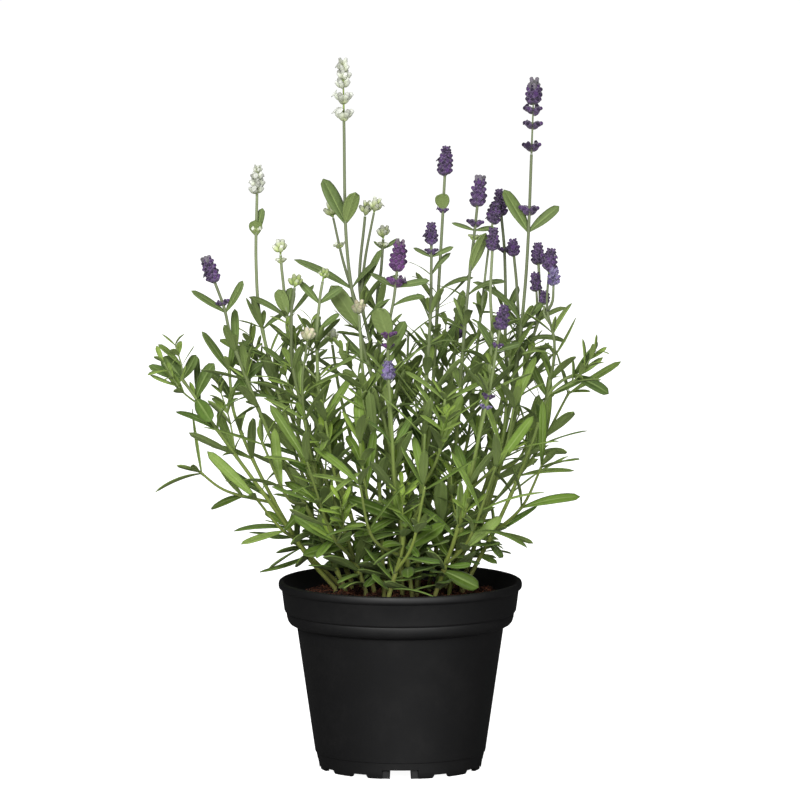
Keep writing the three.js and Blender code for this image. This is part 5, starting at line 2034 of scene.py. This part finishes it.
@dataclass
class FlowerHeads:
    """The spikes: whorls of downy florets round a green axis, in millimetres.

    Each of the axils is (stem, distance below its tip, radius, colour).
    """

    plants: Plants
    seat_gap: float = 0.3
    bud_lift: float = 1.0
    loose_length: float = 20.0
    longest: float = 35.0
    axis_radius: float = 0.75
    small: float = 9.0
    bract: Blade = Blade(3.6, 2.4, 57.296, 17.189)
    kinds: dict = field(default_factory=lambda: {
        "bright_purple": Bloom.BRIGHT, "low_purple": Bloom.LILAC, "faded_white": Bloom.BEIGE,
        "low_white": Bloom.BEIGE, "cluster_purple_right": Bloom.LILAC, "green_bud": Bloom.GREEN,
        "front_white": Bloom.GREEN,
    })
    axils: tuple = (
        ("far_white", 18.8, 2.9, Bloom.CREAM), ("left_white", 3.5, 2.7, Bloom.CREAM),
        ("white_behind", 15.0, 2.5, Bloom.CREAM), ("back_white", 3.6, 2.7, Bloom.CREAM),
        ("spire_purple", 16.7, 2.8, Bloom.GREEN), ("bright_purple", 32.5, 4.0, Bloom.BRIGHT),
        ("bright_purple", 38.5, 3.2, Bloom.BRIGHT), ("front_purple", 34.5, 3.4, Bloom.PURPLE),
        ("front_purple", 40.0, 3.0, Bloom.LILAC), ("slim_purple", 18.6, 2.4, Bloom.PURPLE),
    )

    def build(self) -> None:
        """Makes one piece for each head and each collar of florets."""
        self.materials = {kind: kind.value.material() for kind in Bloom}
        self.bud = FloretPattern().form()
        self.open = FloretPattern(sides=10, open_petals=True).form()
        self.bract_form = BladePattern(columns=2, rows=6).form()
        self.axis = stem_form(6)
        for stem in self.plants.stems.values():
            if stem.plan.bloom:
                self.make_head(stem)
            if stem.plan.collar:
                self.make_collar(stem, *stem.plan.collar, self.kind_of(stem))
        for name, below, radius, kind in self.axils:
            self.make_collar(self.plants.stems[name], below, radius, kind)

    def kind_of(self, stem: Growing) -> Bloom:
        """The colour of a stem's flowers."""
        white = Bloom.CREAM if stem.plan.bloom[1] < self.small else Bloom.WHITE
        return self.kinds.get(stem.plan.name, white if stem.plan.bloom[0] == "white" else Bloom.PURPLE)

    def whorls(self, length: float, radius: float, count: int) -> list[tuple[float, float, bool]]:
        """Height, radius and whether it stands apart, for each whorl of a spike.

        Args:
            length: the spike's length.
            radius: its widest whorl's radius.
            count: whorls in its crowded part.

        Returns:
            One row for each whorl, from the foot up.
        """
        shares = [] if length <= self.loose_length else [0.1, 0.37]
        start = 0.56 * length if shares else self.plants.first_whorl
        if length > self.longest:
            shares, start = [*shares, 0.56], 0.68 * length
        whorls = [(share * length, radius * 1.05, True) for share in shares]
        pitch = (length - start - 2.2) / (count - 1)
        for i in range(count):
            share = i / (count - 1)
            swell = 1 - 0.5 * share**2.2 - 0.12 * (1 - share) ** 2
            whorls.append((start + pitch * i, radius * swell, False))
        return whorls

    def make_head(self, stem: Growing) -> None:
        """Builds one spike.

        Args:
            stem: the stem that carries it.
        """
        colour, length, radius, count = stem.plan.bloom
        is_white, line, name = colour == "white", stem.line, stem.plan.name
        along = line.along(line.length)
        base = line.at(line.length) + along * self.seat_gap
        florets = Florets(self, base, along, is_white, dice(613 * (stem.index + 1)))
        florets.add_axis(length - 2.5)
        whorls = self.whorls(length, radius, count)
        if is_white and length < self.small:
            florets.add_posy(length, radius)
            whorls = []
        for order, (height, reach, is_apart) in enumerate(whorls):
            if is_apart:
                florets.add_fans(height, reach)
            elif height > length * 0.84:
                florets.add_ring(height, reach, 4, 0.42, order, not is_white)
            else:
                florets.add_ring(height, reach, 5 if is_white else 7, 0.9, order)
                florets.add_ring(height + 1.6, reach * 0.72, 3 if is_white else 4, 0.6, order + 0.5)
            if is_apart or order == 0:
                florets.add_bracts(height - 1.6)
        self.finish(florets, self.kind_of(stem), f"{name}_flower_head", f"bloom_{name}")

    def make_collar(self, stem: Growing, below: float, radius: float, kind: Bloom) -> None:
        """Builds the small florets that stand in the axils of a leaf pair.

        Args:
            stem: the stem.
            below: how far below its tip.
            radius: how far the tips stand from the stem.
            kind: the florets' colour.
        """
        distance = stem.line.length - below
        draw = dice(827 * (stem.index + 1) + int(below))
        florets = Florets(self, stem.line.at(distance), stem.line.along(distance), False, draw)
        florets.add_fans(0.8, radius)
        self.finish(florets, kind, f"{stem.plan.name}_axil_florets_{below:.0f}")

    def finish(self, florets: Florets, kind: Bloom, name: str, *nodes: str) -> None:
        """Makes a piece of some florets and seats it on the body, hiding any solids that it replaces."""
        hand_in(florets.cluster.piece(name, self.materials[kind]), kind.slot, *nodes)


# ---- The studio ----


@dataclass
class Studio:
    """A pale floor, soft lights and the camera, in metres.

    Each light is (name, place, size, power, whether it shows in reflections).
    """

    camera_distance: float = 4.0
    camera_height: float = 0.669
    aim_height: float = 0.183
    aim_shift: float = -0.00015
    lens: float = 367.2
    sensor: float = 36.0
    floor_size: float = 12.0
    air_light: float = 0.1
    lit_height: float = 0.15
    lights: tuple = (
        ("key_softbox", (-0.6, -2.0, 1.2), 1.0, 59, True),
        ("fill_softbox", (1.0, -2.2, 0.6), 1.0, 27, True),
        ("top_softbox", (0.1, 0.1, 2.4), 0.9, 11, True),
        ("right_back_softbox", (1.5, 1.9, 1.2), 1.2, 17, False),
        ("left_back_softbox", (-1.5, 1.9, 1.2), 1.2, 17, False),
    )

    def build(self) -> None:
        """Sets up everything that isn't the plant."""
        self.make_camera()
        for name, place, size, power, is_glossy in self.lights:
            light = bpy.data.lights.new(name, "AREA")
            light.size, light.energy = size, power
            lamp = self.looking(name, light, place, (AXIS[0], AXIS[1], self.lit_height))
            lamp.visible_glossy = is_glossy
        floor = start("plane", size=self.floor_size)
        floor.name = "studio_floor"
        floor.data.materials.append(FloorPaper().material())
        floor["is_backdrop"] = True
        self.make_sky()
        bpy.context.scene.view_settings.view_transform = "Standard"

    def make_camera(self) -> None:
        """Places the camera on the photograph's line of sight."""
        x = AXIS[0] + self.aim_shift
        place = (x, AXIS[1] - self.camera_distance, self.camera_height)
        lens = bpy.data.cameras.new("camera")
        lens.lens, lens.sensor_width, lens.clip_end = self.lens, self.sensor, 30
        camera = self.looking("camera", lens, place, (x, AXIS[1], self.aim_height))
        bpy.context.scene.camera = camera

    @staticmethod
    def looking(name: str, data: bpy.types.ID, place: tuple, target: tuple) -> Piece:
        """Adds a camera or light that looks at a target.

        Args:
            name: the object's name.
            data: the camera or light.
            place: where it stands.
            target: what it looks at.

        Returns:
            The object.
        """
        piece = bpy.data.objects.new(name, data)
        bpy.context.scene.collection.objects.link(piece)
        piece.location = place
        piece.rotation_euler = (Vector(target) - Vector(place)).to_track_quat("-Z", "Y").to_euler()
        return piece

    def make_sky(self) -> None:
        """Surrounds the scene with an even pale light that is dark in reflections."""
        world = bpy.data.worlds.new("studio_air")
        world.use_nodes = True
        nodes = Tree(world.node_tree)
        back = nodes.tree.nodes["Background"].inputs
        path = nodes.add("LightPath").outputs
        soft = nodes.line(path["Is Glossy Ray"], -self.air_light, self.air_light)
        nodes.put((1, 1, 1, 1), back["Color"])
        nodes.put(nodes.math("ADD", soft, path["Is Camera Ray"]), back["Strength"])
        bpy.context.scene.world = world


def main() -> None:
    """Builds the pot, the soil, the plants, their flowers and the studio, in that order."""
    logging.basicConfig(level=logging.INFO, format="%(name)s: %(message)s")
    make_effects()
    pot, soil = Pot(), SoilBed()
    pot.build()
    soil.build()
    plants = Plants(soil, pot)
    plants.grow()
    plants.build()
    FlowerHeads(plants).build()
    Studio().build()
    sizes = {"cad": cad_bounds, "visual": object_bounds()}
    {name: [list(corner) for corner in box] for name, box in sizes.items()}


if __name__ == "__main__":
    main()
